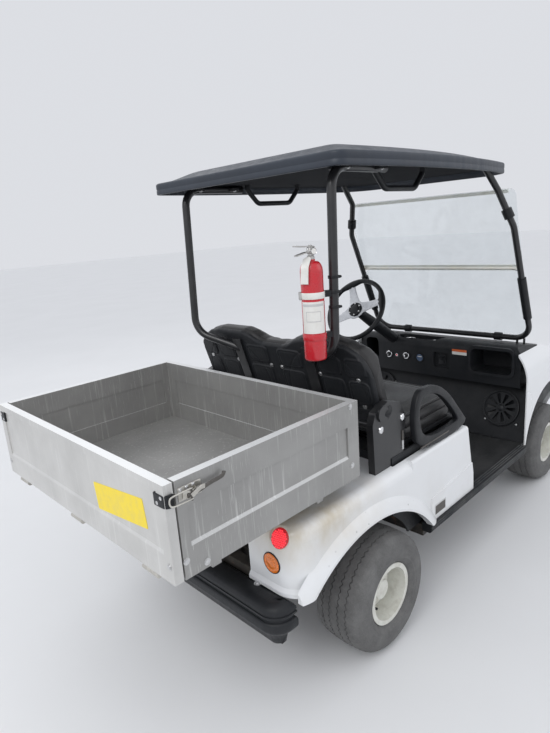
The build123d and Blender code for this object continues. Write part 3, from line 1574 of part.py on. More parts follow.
# Rear bumper: a rounded bar with a long groove along its upper third
BUMPER_HALF = BODY_HALF - 22
BUMPER_TAIL = RAIL_REAR - 94
BUMPER_BOTTOM = 270
BUMPER_TOP = FENDER_FOOT - 1
BUMPER_CORNER_R = 70
BUMPER_GROOVE = (12, 7)
BUMPER_EASE = ((-1, 1), (28, 1), (8, -14), (-1, -26))
BUMPER_UNDERCUT = ((-1, -1), (-1, 30), (18, -1))
with BuildPart() as rear_bumper:
    with BuildSketch(plan(BUMPER_BOTTOM)):
        with Locations(((BUMPER_TAIL + RAIL_REAR - SEAT_FIT) / 2, 0)):
            Rectangle(RAIL_REAR - SEAT_FIT - BUMPER_TAIL, 2 * BUMPER_HALF)
        fillet(vertices().group_by(Axis.X)[0], BUMPER_CORNER_R)
    extrude(amount=BUMPER_TOP - BUMPER_BOTTOM)
    with BuildSketch(side()):
        with BuildLine():
            Polyline(*[(BUMPER_TAIL + x, BUMPER_TOP + z) for x, z in BUMPER_EASE], close=True)
            Polyline(
                *[(BUMPER_TAIL + x, BUMPER_BOTTOM + z) for x, z in BUMPER_UNDERCUT], close=True
            )
        make_face()
    extrude(amount=BUMPER_HALF, both=True, mode=Mode.SUBTRACT)
    with BuildSketch(side()):
        with Locations((BUMPER_TAIL, BUMPER_TOP - 50)):
            Rectangle(2 * BUMPER_GROOVE[1], BUMPER_GROOVE[0])
    extrude(amount=BUMPER_HALF - BUMPER_CORNER_R, both=True, mode=Mode.SUBTRACT)
finish(rear_bumper, "rear_bumper")

# Front bumper: a bowed bar on the rails' ends, under the nose
NOSE_BAR_HALF = 320
NOSE_BAR_HEIGHT = 80
with BuildPart() as front_bumper:
    back = RAIL_FRONT + SEAT_FIT
    end = RAIL_FRONT + 0.45 * BUMPER_DEPTH
    with BuildSketch(plan(COWL_BOTTOM - SEAT_FIT - NOSE_BAR_HEIGHT)):
        with BuildLine():
            Polyline(
                (end, NOSE_BAR_HALF),
                (back, NOSE_BAR_HALF),
                (back, -NOSE_BAR_HALF),
                (end, -NOSE_BAR_HALF),
            )
            ThreePointArc(
                (end, -NOSE_BAR_HALF), (WHEELBASE + FRONT_OVERHANG, 0), (end, NOSE_BAR_HALF)
            )
        make_face()
    extrude(amount=NOSE_BAR_HEIGHT)
finish(front_bumper, "front_bumper")


# Pedals hung from the kick panel
PEDALS = [("accelerator", 190, 60, 120), ("brake", 300, 78, 80)]
pedal_z = 430
pedal_x = KICK_FOOT_X + (pedal_z - KICK_FOOT) * math.tan(kick_slope)
with BuildPart() as pedals:
    for _, y, width, height in PEDALS:
        face = Plane(
            origin=(REAR_X + pedal_x, y, pedal_z),
            x_dir=(0, 1, 0),
            z_dir=(-math.cos(kick_slope), 0, math.sin(kick_slope)),
        )
        with BuildSketch(face.offset(SEAT_FIT)):
            Circle(9)
        extrude(amount=52)
        with BuildSketch(face.offset(50)):
            RectangleRounded(width, height, 10)
        extrude(amount=9)
finish(pedals, "pedals")
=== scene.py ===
"""Dress a packed two-seat electric utility vehicle and set it on a pale studio floor.

Metres. X points forward, Y to the left and Z up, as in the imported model, whose named nodes give
the places of the pieces made here. The file is laid out as an add-on: one operator makes each
group of like pieces, and one makes the stage.
"""

import json
import math

import bmesh
import bpy
import numpy as np
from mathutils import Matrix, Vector


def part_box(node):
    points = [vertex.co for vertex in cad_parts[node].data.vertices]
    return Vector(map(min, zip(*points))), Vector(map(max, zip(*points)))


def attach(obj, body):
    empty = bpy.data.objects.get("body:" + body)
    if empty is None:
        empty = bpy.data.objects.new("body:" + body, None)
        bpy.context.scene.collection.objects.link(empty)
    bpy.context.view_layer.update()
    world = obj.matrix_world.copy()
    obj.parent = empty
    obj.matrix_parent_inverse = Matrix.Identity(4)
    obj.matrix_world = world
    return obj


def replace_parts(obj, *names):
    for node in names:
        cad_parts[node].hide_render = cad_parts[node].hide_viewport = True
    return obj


bl_info = {
    "name": "Utility Vehicle Dressing",
    "version": (1, 0, 0),
    "blender": (4, 5, 0),
    "location": "View3D > Sidebar > Vehicle",
    "description": "Finishes and fine pieces for an open electric utility vehicle",
    "category": "Object",
}

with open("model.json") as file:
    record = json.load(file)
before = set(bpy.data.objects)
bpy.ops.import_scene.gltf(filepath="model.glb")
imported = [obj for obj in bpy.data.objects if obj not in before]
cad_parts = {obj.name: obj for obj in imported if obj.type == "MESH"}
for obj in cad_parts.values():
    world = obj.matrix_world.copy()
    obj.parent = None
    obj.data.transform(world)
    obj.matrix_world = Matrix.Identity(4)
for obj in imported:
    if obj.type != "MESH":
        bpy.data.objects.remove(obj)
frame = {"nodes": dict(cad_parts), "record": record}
NODES = frame["nodes"]
NODE_SLOTS = {part["node"]: part["material_slot"] for part in frame["record"]["subparts"]}
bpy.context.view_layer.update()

# The rear axle's place, from which lengths along the vehicle are given
REAR_LOW, REAR_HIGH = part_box("tyre_rear_left")
AXLE_X = (REAR_LOW.x + REAR_HIGH.x) / 2
TYRE_RADIUS = (REAR_HIGH.z - REAR_LOW.z) / 2


def spot(x, y, z):
    """A point given from the rear axle's line on the ground."""
    return np.array((AXLE_X + x, y, z))


def reached(node, point, way):
    """Where a line through a point, followed along a way from outside, first meets a node, if at all."""
    turn = NODES[node].matrix_world.inverted()
    ahead = Vector(way).normalized()
    start = Vector(point) - ahead * 0.5
    found, place, _, _ = NODES[node].ray_cast(turn @ start, turn.to_3x3() @ ahead)
    return np.array(NODES[node].matrix_world @ place) if found else None


def landed(node, point, way):
    """The same place, where the node is known to lie in the way."""
    place = reached(node, point, way)
    if place is None:
        raise RuntimeError(f"{node} has no surface at {tuple(point)}")
    return place


def dressing():
    """The sizes and colours that a user can change."""
    return bpy.context.scene.vehicle_dressing


# Node materials
class Finish:
    """One node material: its shader's sockets hold what is even, its nodes what varies."""

    def __init__(self, name, **sockets):
        self.material = bpy.data.materials.new(name)
        self.material.use_nodes = True
        self.tree = self.material.node_tree
        self.shader = self.tree.nodes["Principled BSDF"]
        for socket, value in sockets.items():
            self.shader.inputs[socket.replace("_", " ")].default_value = value
        self.place = self.node("ShaderNodeTexCoord").outputs["Object"]

    def node(self, kind, inputs=None, **settings):
        """Add a node, and fill its sockets with plain values or with other nodes' outputs."""
        made = self.tree.nodes.new(kind)
        for key, value in settings.items():
            setattr(made, key, value)
        for socket, value in (inputs or {}).items():
            if isinstance(value, bpy.types.NodeSocket):
                self.tree.links.new(value, made.inputs[socket])
            else:
                made.inputs[socket].default_value = value
        return made

    def stretched(self, scale, shift=(0, 0, 0)):
        """Object coordinates shifted and scaled along each axis."""
        moved = {"Vector": self.place, "Scale": scale, "Location": shift}
        return self.node("ShaderNodeMapping", moved).outputs["Vector"]

    def noise(self, scale, detail=4.0, rough=0.55, vector=None):
        """Soft noise from 0 to 1 at a scale per metre."""
        inputs = {"Vector": vector or self.place, "Scale": scale, "Detail": detail, "Roughness": rough}
        return self.node("ShaderNodeTexNoise", inputs).outputs["Fac"]

    def cells(self, scale, feature="F1"):
        """Distance to the nearest of scattered points."""
        inputs = {"Vector": self.place, "Scale": scale}
        return self.node("ShaderNodeTexVoronoi", inputs, feature=feature).outputs["Distance"]

    def span(self, value, low, high, to_low=0.0, to_high=1.0):
        """Carry a value from one range to another, held at the ends."""
        inputs = {"Value": value, "From Min": low, "From Max": high, "To Min": to_low, "To Max": to_high}
        return self.node("ShaderNodeMapRange", inputs).outputs["Result"]

    def cloud(self, settings, *ranges):
        """Soft noise of a scale, detail and roughness, carried from one range to another."""
        return self.span(self.noise(*settings), *ranges)

    def maths(self, operation, first, second):
        """Two values added, multiplied or compared."""
        return self.node("ShaderNodeMath", {0: first, 1: second}, operation=operation).outputs[0]

    def mix(self, share, first, second):
        """A colour between two colours."""
        inputs = {0: share, 6: first, 7: second}
        return self.node("ShaderNodeMix", inputs, data_type="RGBA").outputs[2]

    def along(self, axis):
        """One object coordinate, 0 for X, 1 for Y, 2 for Z."""
        return self.node("ShaderNodeSeparateXYZ", {0: self.place}).outputs[axis]

    def upward(self):
        """How far a face looks up, from -1 to 1."""
        normal = self.node("ShaderNodeNewGeometry").outputs["Normal"]
        return self.node("ShaderNodeSeparateXYZ", {0: normal}).outputs[2]

    def ring(self, x, z):
        """Distance from an axis along Y through x and z."""
        flat = self.stretched((1, 0, 1), (-x, 0, -z))
        return self.node("ShaderNodeVectorMath", {0: flat}, operation="LENGTH").outputs["Value"]

    def link(self, socket, output):
        """Let a node's output drive one of the shader's sockets."""
        self.tree.links.new(output, self.shader.inputs[socket])

    def paint(self, share, first, second):
        """Link the base colour to one between two colours."""
        self.link("Base Color", self.mix(share, first, second))

    def rough(self, value, low, high, to_low, to_high):
        """Link the roughness to a value carried from one range to another."""
        self.link("Roughness", self.span(value, low, high, to_low, to_high))

    def bump(self, height, distance, strength=1.0):
        """Relief of a given depth in metres, over whatever relief is linked already."""
        inputs = {"Height": height, "Distance": distance, "Strength": strength}
        linked = self.shader.inputs["Normal"].links
        if linked:
            inputs["Normal"] = linked[0].from_socket
        self.link("Normal", self.node("ShaderNodeBump", inputs).outputs["Normal"])

    def grain(self, settings, distance, strength):
        """Relief from soft noise of a scale, detail and roughness."""
        self.bump(self.noise(*settings), distance, strength)


def rgb(colour, shade=1.0):
    """A colour with full opacity, darker or lighter by a factor."""
    return (colour[0] * shade, colour[1] * shade, colour[2] * shade, 1.0)


def dust(finish, base, veil, amount, scale=7.0):
    """Colour a finish with a base under a thin uneven veil of dust, heavier on faces that look up."""
    level = finish.span(finish.upward(), -0.4, 1.0, 0.35, 1.0)
    patch = finish.cloud((scale, 6, 0.65), 0.35, 0.75, 0.0, amount)
    share = finish.maths("MULTIPLY", patch, level)
    finish.paint(share, base, veil)
    return share


def grained_plastic(name, colour, roughness=0.5, veil=(0.10, 0.098, 0.095, 1), amount=0.22):
    """Moulded plastic with a fine pebbled grain, dull scuffs and dust."""
    finish = Finish(name, Specular_IOR_Level=0.3)
    dust(finish, rgb(colour), veil, amount)
    scuffs = finish.noise(1, 6, 0.7, finish.stretched((22, 160, 22)))
    finish.rough(scuffs, 0.3, 0.75, roughness - 0.1, roughness + 0.15)
    finish.bump(finish.cells(900), 0.00025, 0.5)
    finish.grain((6, 3), 0.002, 0.25)
    return finish.material


def roof_plastic():
    """Grey-black roof plastic: a soft shine, run marks down the rim and dust on the top."""
    colour = dressing().roof_colour
    finish = Finish("roof_plastic", Specular_IOR_Level=0.34)
    veil = dust(finish, rgb(colour), rgb(colour, 2.6), 0.42, 3.5)
    runs = finish.noise(1, 5, 0.6, finish.stretched((38, 38, 3)))
    finish.rough(finish.maths("ADD", runs, veil), 0.35, 1.1, 0.36, 0.62)
    finish.bump(finish.cells(700), 0.0003, 0.45)
    finish.grain((3, 2), 0.006, 0.25)
    return finish.material


def ceiling_liner():
    """Matt near-black finish for a sheet under the roof, painted shade on the ceiling, with a coarse felted
    grain.
    """
    finish = Finish("ceiling_liner", Specular_IOR_Level=0.1)
    cloud = finish.noise(6, 5, 0.6)
    finish.paint(cloud, (0.005, 0.006, 0.008, 1), (0.012, 0.013, 0.016, 1))
    finish.rough(cloud, 0.3, 0.7, 0.85, 0.95)
    finish.grain((420, 3), 0.0004, 0.5)
    return finish.material


ARCH_MIDDLE = (AXLE_X - 0.076, 0.043)


def body_shine():
    """White moulded body: glossy, stained yellow below the box, grimy low down, with mud specks round
    the rear arches."""
    colour = dressing().body_colour
    finish = Finish("white_body", Coat_Weight=0.35, Coat_Roughness=0.12, Specular_IOR_Level=0.5)
    patch = finish.noise(5, 6, 0.62)
    stain = finish.span(patch, 0.42, 0.8, 0.0, 0.3)
    low = finish.span(finish.along(2), 0.62, 0.36, 0.15, 1.0)
    grime = finish.maths("MULTIPLY", stain, low)
    base = finish.mix(grime, rgb(colour), (0.42, 0.38, 0.31, 1))
    behind = finish.span(finish.along(0), AXLE_X + 0.05, AXLE_X - 0.22)
    under_box = finish.span(finish.along(2), 0.50, 0.635)
    drip = finish.span(finish.noise(7, 5, 0.6, finish.stretched((1, 1, 0.5))), 0.30, 0.60, 0.1, 0.72)
    yellow = finish.maths("MULTIPLY", finish.maths("MULTIPLY", behind, under_box), drip)
    base = finish.mix(yellow, base, (0.46, 0.38, 0.24, 1))
    near = finish.span(finish.ring(*ARCH_MIDDLE), 0.56, 0.49)
    dots = finish.span(finish.cells(27), 0.115, 0.075)
    chance = finish.cloud((14, 3), 0.44, 0.50)
    specks = finish.maths("MULTIPLY", finish.maths("MULTIPLY", near, dots), chance)
    finish.paint(specks, base, (0.03, 0.028, 0.026, 1))
    finish.rough(finish.maths("ADD", stain, specks), 0.0, 1.0, 0.2, 0.62)
    finish.grain((3, 1), 0.002, 0.10)
    return finish.material


def bare_aluminium(name, shade, metallic):
    """Mill aluminium drawn along its planks: fine level lines, pale upright drips and scratches,
    and a painted highlight, near white, on faces that look up above 0.745 m. The shade factor
    scales the whole colour: painted light above 1, painted shade below."""
    colour = [part * shade for part in dressing().box_colour]
    finish = Finish(name, Metallic=metallic)
    lines = finish.noise(1, 3, 0.6, finish.stretched((2.5, 2.5, 420)))
    cloud = finish.noise(4, 5, 0.55)
    base = finish.mix(finish.span(cloud, 0.35, 0.65), rgb(colour, 0.88), rgb(colour, 1.06))
    drips = finish.span(finish.noise(1, 4, 0.6, finish.stretched((95, 95, 3.2))), 0.58, 0.72, 0.0, 0.42)
    scratches = finish.span(finish.noise(1, 2, 0.5, finish.stretched((600, 600, 13))), 0.65, 0.69, 0.0, 0.6)
    here = finish.cloud((6, 4), 0.45, 0.62)
    pale = finish.maths("MAXIMUM", drips, finish.maths("MULTIPLY", scratches, here))
    base = finish.mix(pale, base, (0.80, 0.80, 0.78, 1))
    # Painted highlight: faces that look up, above 0.745 m, lightened towards near white
    top = finish.span(finish.upward(), 0.36, 0.62, 0.0, 0.75)
    high = finish.span(finish.along(2), 0.735, 0.745)
    finish.paint(finish.maths("MULTIPLY", top, high), base, (0.86, 0.87, 0.87, 1))
    finish.rough(finish.maths("ADD", lines, cloud), 0.6, 1.4, 0.50, 0.36)
    finish.bump(lines, 0.00012, 0.3)
    finish.grain((9, 2), 0.0022, 0.22)
    return finish.material


def tube_paint():
    """Black painted steel tube, half gloss, with chips to grey along it and light dust."""
    finish = Finish("tube_paint", Specular_IOR_Level=0.5, Coat_Weight=0.15)
    share = dust(finish, (0.0105, 0.011, 0.0125, 1), (0.10, 0.097, 0.094, 1), 0.26, 16)
    finish.rough(share, 0.0, 0.5, 0.3, 0.6)
    finish.grain((240, 3), 0.0003, 0.35)
    return finish.material


def underbody_paint():
    """Black chassis paint under road dirt, with rust coming through."""
    finish = Finish("underbody_paint", Specular_IOR_Level=0.3)
    dirt = finish.cloud((12, 7, 0.65), 0.36, 0.7, 0.0, 0.75)
    rust = finish.cloud((30, 5, 0.7), 0.6, 0.72, 0.0, 0.5)
    base = finish.mix(dirt, (0.018, 0.018, 0.019, 1), (0.13, 0.115, 0.095, 1))
    finish.paint(rust, base, (0.17, 0.07, 0.035, 1))
    finish.rough(dirt, 0.0, 0.75, 0.45, 0.9)
    finish.grain((150, 5, 0.7), 0.0008, 0.5)
    return finish.material


def spring_steel():
    """Leaf springs: dark scale with orange rust."""
    finish = Finish("spring_steel", Metallic=0.35)
    rust = finish.cloud((45, 6, 0.7), 0.4, 0.66, 0.0, 0.8)
    finish.paint(rust, (0.05, 0.048, 0.047, 1), (0.2, 0.085, 0.04, 1))
    finish.rough(rust, 0.0, 0.8, 0.5, 0.92)
    finish.grain((260, 5, 0.7), 0.0006, 0.6)
    return finish.material


def tyre_rubber():
    """Worn tyre rubber, grey-brown with road dust."""
    colour = dressing().tyre_colour
    finish = Finish("tyre_rubber", Specular_IOR_Level=0.28)
    dirt = finish.noise(16, 7, 0.66)
    blots = finish.span(dirt, 0.35, 0.7)
    base = finish.mix(blots, rgb(colour, 0.8), rgb(colour, 1.3))
    fine = finish.cloud((260, 4, 0.7), 0.5, 0.75, 0.0, 0.35)
    finish.paint(fine, base, rgb(colour, 1.9))
    finish.rough(dirt, 0.3, 0.7, 0.66, 0.88)
    finish.grain((500, 4, 0.6), 0.0004, 0.45)
    finish.grain((60, 3), 0.0008, 0.3)
    return finish.material


def rim_paint():
    """Cream wheel paint with brown dirt in patches and small chips."""
    colour = dressing().rim_colour
    finish = Finish("rim_paint", Coat_Weight=0.2, Specular_IOR_Level=0.45)
    dirt = finish.cloud((22, 7, 0.68), 0.44, 0.76, 0.0, 0.5)
    base = finish.mix(dirt, rgb(colour), (0.3, 0.26, 0.2, 1))
    chips = finish.span(finish.cells(130), 0.09, 0.05, 0.0, 0.7)
    few = finish.cloud((40, 2), 0.6, 0.66)
    finish.paint(finish.maths("MULTIPLY", chips, few), base, (0.09, 0.08, 0.07, 1))
    finish.rough(dirt, 0.0, 0.5, 0.34, 0.7)
    finish.grain((120, 4), 0.0005, 0.3)
    return finish.material


def vinyl():
    """Black bench vinyl with a pressed leather grain, soft shine and pale scuffs."""
    finish = Finish("black_vinyl", Specular_IOR_Level=0.36, Sheen_Weight=0.05)
    share = dust(finish, (0.0125, 0.0125, 0.0135, 1), (0.085, 0.08, 0.075, 1), 0.24, 9)
    finish.rough(share, 0.0, 0.3, 0.38, 0.58)
    finish.bump(finish.cells(420, feature="DISTANCE_TO_EDGE"), 0.0005, 0.5)
    finish.grain((28, 4), 0.0012, 0.3)
    return finish.material


def floor_rubber():
    """Black floor mat, trodden grey in patches."""
    finish = Finish("floor_rubber", Specular_IOR_Level=0.25)
    trodden = finish.cloud((8, 6, 0.65), 0.35, 0.7, 0.1, 0.8)
    finish.paint(trodden, (0.017, 0.018, 0.019, 1), (0.058, 0.058, 0.058, 1))
    finish.rough(trodden, 0.0, 0.8, 0.55, 0.88)
    studs = finish.cells(62, feature="SMOOTH_F1")
    finish.bump(finish.span(studs, 0.22, 0.34, 1.0, 0.0), 0.0012, 0.5)
    finish.grain((300, 4), 0.0005, 0.5)
    return finish.material


def clear_sheet():
    """Clear plastic sheet with dull haze, wiping arcs and fine scratches."""
    finish = Finish("clear_sheet", Base_Color=(0.93, 0.96, 0.97, 1), IOR=1.32, Specular_IOR_Level=0.5)
    haze = finish.cloud((9, 6, 0.7), 0.4, 0.75, 0.0, 0.14)
    wipes = finish.noise(1, 4, 0.6, finish.stretched((14, 60, 130)))
    finish.rough(finish.maths("ADD", haze, wipes), 0.4, 0.9, 0.01, 0.09)
    finish.link("Transmission Weight", finish.span(haze, 0.0, 0.14, 0.99, 0.93))
    return finish.material


def milky_plastic(name, colour):
    """Pale extruded plastic strip, yellowed in patches, with a faint emission of its own colour that is
    painted light.
    """
    # Painted light: a faint emission of the strip's own colour
    finish = Finish(name, Specular_IOR_Level=0.45, Emission_Color=rgb(colour), Emission_Strength=0.12)
    aged = finish.cloud((14, 5), 0.35, 0.7, 0.0, 0.6)
    finish.paint(aged, rgb(colour), rgb((colour[0], colour[1] * 0.93, colour[2] * 0.78)))
    finish.rough(finish.noise(60, 3), 0.3, 0.7, 0.35, 0.55)
    return finish.material


def brushed_metal(name, colour, roughness):
    """Brushed or plated metal with a fine grain drawn along X and dull spots."""
    finish = Finish(name, Metallic=1.0)
    grain = finish.noise(1, 3, 0.5, finish.stretched((30, 400, 400)))
    spots = finish.noise(55, 5, 0.65)
    finish.paint(finish.span(spots, 0.4, 0.75, 0.0, 0.6), rgb(colour), rgb(colour, 0.6))
    finish.rough(finish.maths("ADD", grain, spots), 0.7, 1.3, roughness - 0.08, roughness + 0.16)
    finish.bump(grain, 0.0001, 0.35)
    return finish.material


def red_gloss():
    """Red gloss paint on the extinguisher's bottle, faintly scuffed."""
    finish = Finish("red_gloss", Coat_Weight=0.5, Coat_Roughness=0.1)
    worn = finish.cloud((30, 6, 0.7), 0.5, 0.8, 0.0, 0.4)
    finish.paint(worn, (0.52, 0.012, 0.022, 1), (0.3, 0.03, 0.03, 1))
    finish.rough(worn, 0.0, 0.4, 0.24, 0.55)
    finish.grain((40, 2), 0.0006, 0.2)
    return finish.material


def lens(name, colour, glow):
    """Coloured lamp lens, glossy, faintly lit from inside, with moulded cells."""
    finish = Finish(
        name,
        Roughness=0.14,
        Coat_Weight=0.6,
        Coat_Roughness=0.05,
        Emission_Color=rgb(colour),
        Emission_Strength=glow,
    )
    cell = finish.cells(190)
    finish.paint(finish.span(cell, 0.1, 0.5), rgb(colour, 1.25), rgb(colour, 0.6))
    finish.bump(cell, 0.0012, 0.5)
    return finish.material


def lamp_glass():
    """Clear ribbed headlamp glass."""
    finish = Finish("lamp_glass", Base_Color=(0.92, 0.94, 0.95, 1), Transmission_Weight=0.55, IOR=1.45)
    flutes = finish.node("ShaderNodeTexWave", {"Vector": finish.place, "Scale": 42}, bands_direction="Y")
    finish.rough(finish.noise(20, 3), 0.3, 0.7, 0.05, 0.16)
    finish.bump(flutes.outputs["Fac"], 0.002, 0.6)
    return finish.material


def paper(name, colour, veil=(0.5, 0.47, 0.4, 1), roughness=0.5):
    """A blank sticker: faded ink on film, dirtier towards its rims."""
    finish = Finish(name, Specular_IOR_Level=0.4)
    worn = finish.cloud((36, 6, 0.7), 0.45, 0.8, 0.0, 0.35)
    finish.paint(worn, rgb(colour), veil)
    finish.rough(worn, 0.0, 0.4, roughness - 0.1, roughness + 0.2)
    finish.grain((90, 3), 0.0003, 0.3)
    return finish.material


def battery_plastic():
    """Dull dark grey battery block with acid stains."""
    finish = Finish("battery_plastic", Specular_IOR_Level=0.35)
    dust(finish, (0.03, 0.031, 0.034, 1), (0.22, 0.22, 0.2, 1), 0.5, 14)
    finish.rough(finish.noise(40, 4), 0.3, 0.7, 0.45, 0.7)
    return finish.material


MATERIALS = {}


def finishes():
    """Every finish by the record's slot name, made once, with those of the small added pieces."""
    if MATERIALS:
        return MATERIALS
    black = dressing().plastic_colour
    MATERIALS.update(
        tyre=tyre_rubber(),
        rim_paint=rim_paint(),
        chassis_paint=underbody_paint(),
        tube_paint=tube_paint(),
        spring_steel=spring_steel(),
        floor_rubber=floor_rubber(),
        black_plastic=grained_plastic("black_plastic", black),
        bumper_plastic=grained_plastic("bumper_plastic", rgb(black, 1.15), 0.42),
        # light grey sill ribs: dust and a painted highlight
        dusty_rib=grained_plastic("dusty_rib", rgb(black, 2.6), 0.6, (0.22, 0.215, 0.2, 1), 0.8),
        soft_black=grained_plastic("soft_black", rgb(black, 0.85), 0.4, amount=0.18),
        grey_plastic=roof_plastic(),
        # near-black finish of the sheet under the roof: painted shade
        ceiling_liner=ceiling_liner(),
        white_body=body_shine(),
        lamp_lens=lamp_glass(),
        black_vinyl=vinyl(),
        wheel_spokes=brushed_metal("spoke_steel", (0.56, 0.57, 0.59), 0.32),
        acrylic=clear_sheet(),
        # the strip's faint emission is painted light
        strip_plastic=milky_plastic("strip_plastic", (0.93, 0.93, 0.88)),
        red_paint=red_gloss(),
        fitting_metal=brushed_metal("fitting_metal", (0.58, 0.57, 0.55), 0.36),
        # One aluminium at two shades: the box's sides darker as painted shade, the gate lighter as painted
        # light
        box_aluminium=bare_aluminium("box_aluminium", 0.70, 0.52),
        gate_aluminium=bare_aluminium("gate_aluminium", 1.22, 0.45),
        zinc=brushed_metal("zinc", (0.62, 0.6, 0.55), 0.38),
        bolt_steel=brushed_metal("bolt_steel", (0.66, 0.66, 0.66), 0.3),
        chrome=brushed_metal("chrome", (0.82, 0.82, 0.83), 0.12),
        red_lens=lens("red_lens", (0.55, 0.006, 0.012), 0.35),
        bright_red=lens("bright_red", (0.95, 0.03, 0.05), 0.9),
        amber_lens=lens("amber_lens", (0.74, 0.175, 0.008), 0.2),
        battery_case=battery_plastic(),
        yellow_label=paper("yellow_label", (0.86, 0.66, 0.03)),
        white_label=paper("white_label", (0.74, 0.73, 0.7)),
        grey_label=paper("grey_label", (0.52, 0.52, 0.52)),
        orange_label=paper("orange_label", (0.62, 0.12, 0.03)),
        dial_face=paper("dial_face", (0.10, 0.14, 0.22), (0.18, 0.2, 0.24, 1), 0.25),
        dark_metal=brushed_metal("dark_metal", (0.16, 0.15, 0.14), 0.45),
    )
    return MATERIALS


# CAD nodes that take another finish than their slot's
OWN_FINISH = {
    "rear_struts": "tube_paint",
    "windscreen_frame": "tube_paint",
    "seat_brackets": "tube_paint",
    "roof_handles": "soft_black",
    "steering_wheel": "soft_black",
    "rear_bumper": "bumper_plastic",
    "front_bumper": "bumper_plastic",
    "armrests": "soft_black",
    "windscreen_clips": "soft_black",
    # the gate's lighter copy of the box's aluminium is painted light
    "tailgate": "gate_aluminium",
}


# Shapes worked out as arrays
SIDES = ((1, "left"), (-1, "right"))
UP = (0, 0, 1)
BACK = (-1, 0, 0)
RIGHT = (0, -1, 0)


def mm(*values):
    """Sizes or points given in millimetres, as an array in metres."""
    return np.array(values) / 1000


def unit(vectors):
    """Vectors scaled to a length of one."""
    vectors = np.asarray(vectors, float)
    return vectors / np.linalg.norm(vectors, axis=-1, keepdims=True)


def full_turn(count):
    """Even angles once round."""
    return np.linspace(0, 2 * math.pi, count, endpoint=False)


def bell(values, middle, width, power=2):
    """1 at the middle, falling to 0 on both sides: exp(-(distance / width) ^ power)."""
    return np.exp(-(((values - middle) / width) ** power))


def grid_quads(rows, columns, closed_rows=False, closed_columns=False):
    """Corner numbers of the quads between neighbours in a grid numbered row by row."""
    row = np.arange(rows if closed_rows else rows - 1)[:, None]
    column = np.arange(columns if closed_columns else columns - 1)[None, :]
    next_row = (row + 1) % rows
    next_column = (column + 1) % columns
    corners = (
        row * columns + column,
        row * columns + next_column,
        next_row * columns + next_column,
        next_row * columns + column,
    )
    return np.stack([np.broadcast_to(c, (row.size, column.size)) for c in corners], -1).reshape(-1, 4)


def make_piece(name, grids, finish, body="chassis", crease=None, loop=False, tube=True):
    """One object from equal grids of points, with closed poles and outward faces, riding on a body.

    Neighbours in a grid make quads. A tube's columns join up at their ends, and so do a loop's rows.
    """
    rows, columns = np.shape(grids)[-3:-1]
    points = np.asarray(grids, np.float32).reshape(-1, 3)
    starts = np.arange(0, len(points), rows * columns)
    quads = grid_quads(rows, columns, loop, tube) + starts[:, None, None]
    quads = quads.reshape(-1, 4).astype(np.int32)
    mesh = bpy.data.meshes.new(name)
    mesh.vertices.add(len(points))
    mesh.vertices.foreach_set("co", points.ravel())
    mesh.loops.add(quads.size)
    mesh.loops.foreach_set("vertex_index", quads.ravel())
    mesh.polygons.add(len(quads))
    mesh.polygons.foreach_set("loop_start", np.arange(len(quads), dtype=np.int32) * 4)
    mesh.update(calc_edges=True)
    shape = bmesh.new()
    shape.from_mesh(mesh)
    bmesh.ops.remove_doubles(shape, verts=shape.verts, dist=1e-6)
    bmesh.ops.dissolve_degenerate(shape, edges=shape.edges, dist=1e-7)
    bmesh.ops.recalc_face_normals(shape, faces=shape.faces)
    shape.to_mesh(mesh)
    shape.free()
    mesh.polygons.foreach_set("use_smooth", np.ones(len(mesh.polygons), bool))
    if crease is not None:
        mesh.set_sharp_from_angle(angle=math.radians(crease))
    mesh.materials.append(finishes()[finish])
    piece = bpy.data.objects.new(name, mesh)
    bpy.context.scene.collection.objects.link(piece)
    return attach(piece, body)


def capped(rows):
    """Rows of points with one more at each end, drawn together at the end row's middle."""
    first, last = (np.broadcast_to(rows[end].mean(0), (1, *rows.shape[1:])) for end in (0, -1))
    return np.concatenate([first, rows, last])


def bases(axes):
    """Two unit vectors square to each axis and to each other, and the unit axis itself."""
    axes = unit(np.atleast_2d(axes))
    other = np.where(np.abs(axes[:, 2:3]) < 0.9, [[0, 0, 1.0]], [[1.0, 0, 0]])
    first = unit(np.cross(other, axes))
    return first, np.cross(axes, first), axes


def turned(name, profile, places, axes, finish, sides=20, crease=35, hoop=False, body="chassis"):
    """Copies of one turned shape: profile holds (radius, height) pairs, carried round each axis.

    A point is the place, plus radius times (cos t, sin t) in the axis's own square frame, plus
    height along the axis. The profile runs from the axis back to it, or is a closed loop for a hoop.
    """
    profile = np.asarray(profile, float)[None, :, :, None]
    places = np.atleast_2d(np.asarray(places, float))
    first, second, axis = bases(np.broadcast_to(np.atleast_2d(axes), places.shape))
    turn = full_turn(sides)[None, :, None]
    rim = first[:, None] * np.cos(turn) + second[:, None] * np.sin(turn)
    points = places[:, None, None] + rim[:, None] * profile[:, :, :1]
    points = points + axis[:, None, None] * profile[:, :, 1:]
    return make_piece(name, points, finish, body, crease, loop=hoop)


def bolt_heads(name, places, axes, radius, height, hexagon=True, body="chassis"):
    """Steel bolt heads on round washers, standing on a surface."""
    sides, dome = (6, 0.82) if hexagon else (16, 0.6)
    washer = [(0, -0.001), (radius * 1.45, -0.001), (radius * 1.45, 0.0012), (0, 0.0012)]
    head = [(0, 0.001), (radius, 0.001), (radius, height * 0.75), (radius * dome, height), (0, height)]
    turned(f"{name}_washers", washer, places, axes, "bolt_steel", 18, body=body)
    turned(name, head, places, axes, "bolt_steel", sides, body=body)


def rounded_rectangle(width, height, corner, steps=6):
    """Outline points of a rectangle with round corners, anticlockwise: quarter arcs joined by lines."""
    turn = (np.linspace(0, math.pi / 2, steps)[None, :] + np.arange(4)[:, None] * math.pi / 2).ravel()
    side = np.repeat(np.array([(1, 1), (-1, 1), (-1, -1), (1, -1)]), steps, axis=0)
    centre = side * (width / 2 - corner, height / 2 - corner)
    return centre + corner * np.stack([np.cos(turn), np.sin(turn)], 1)


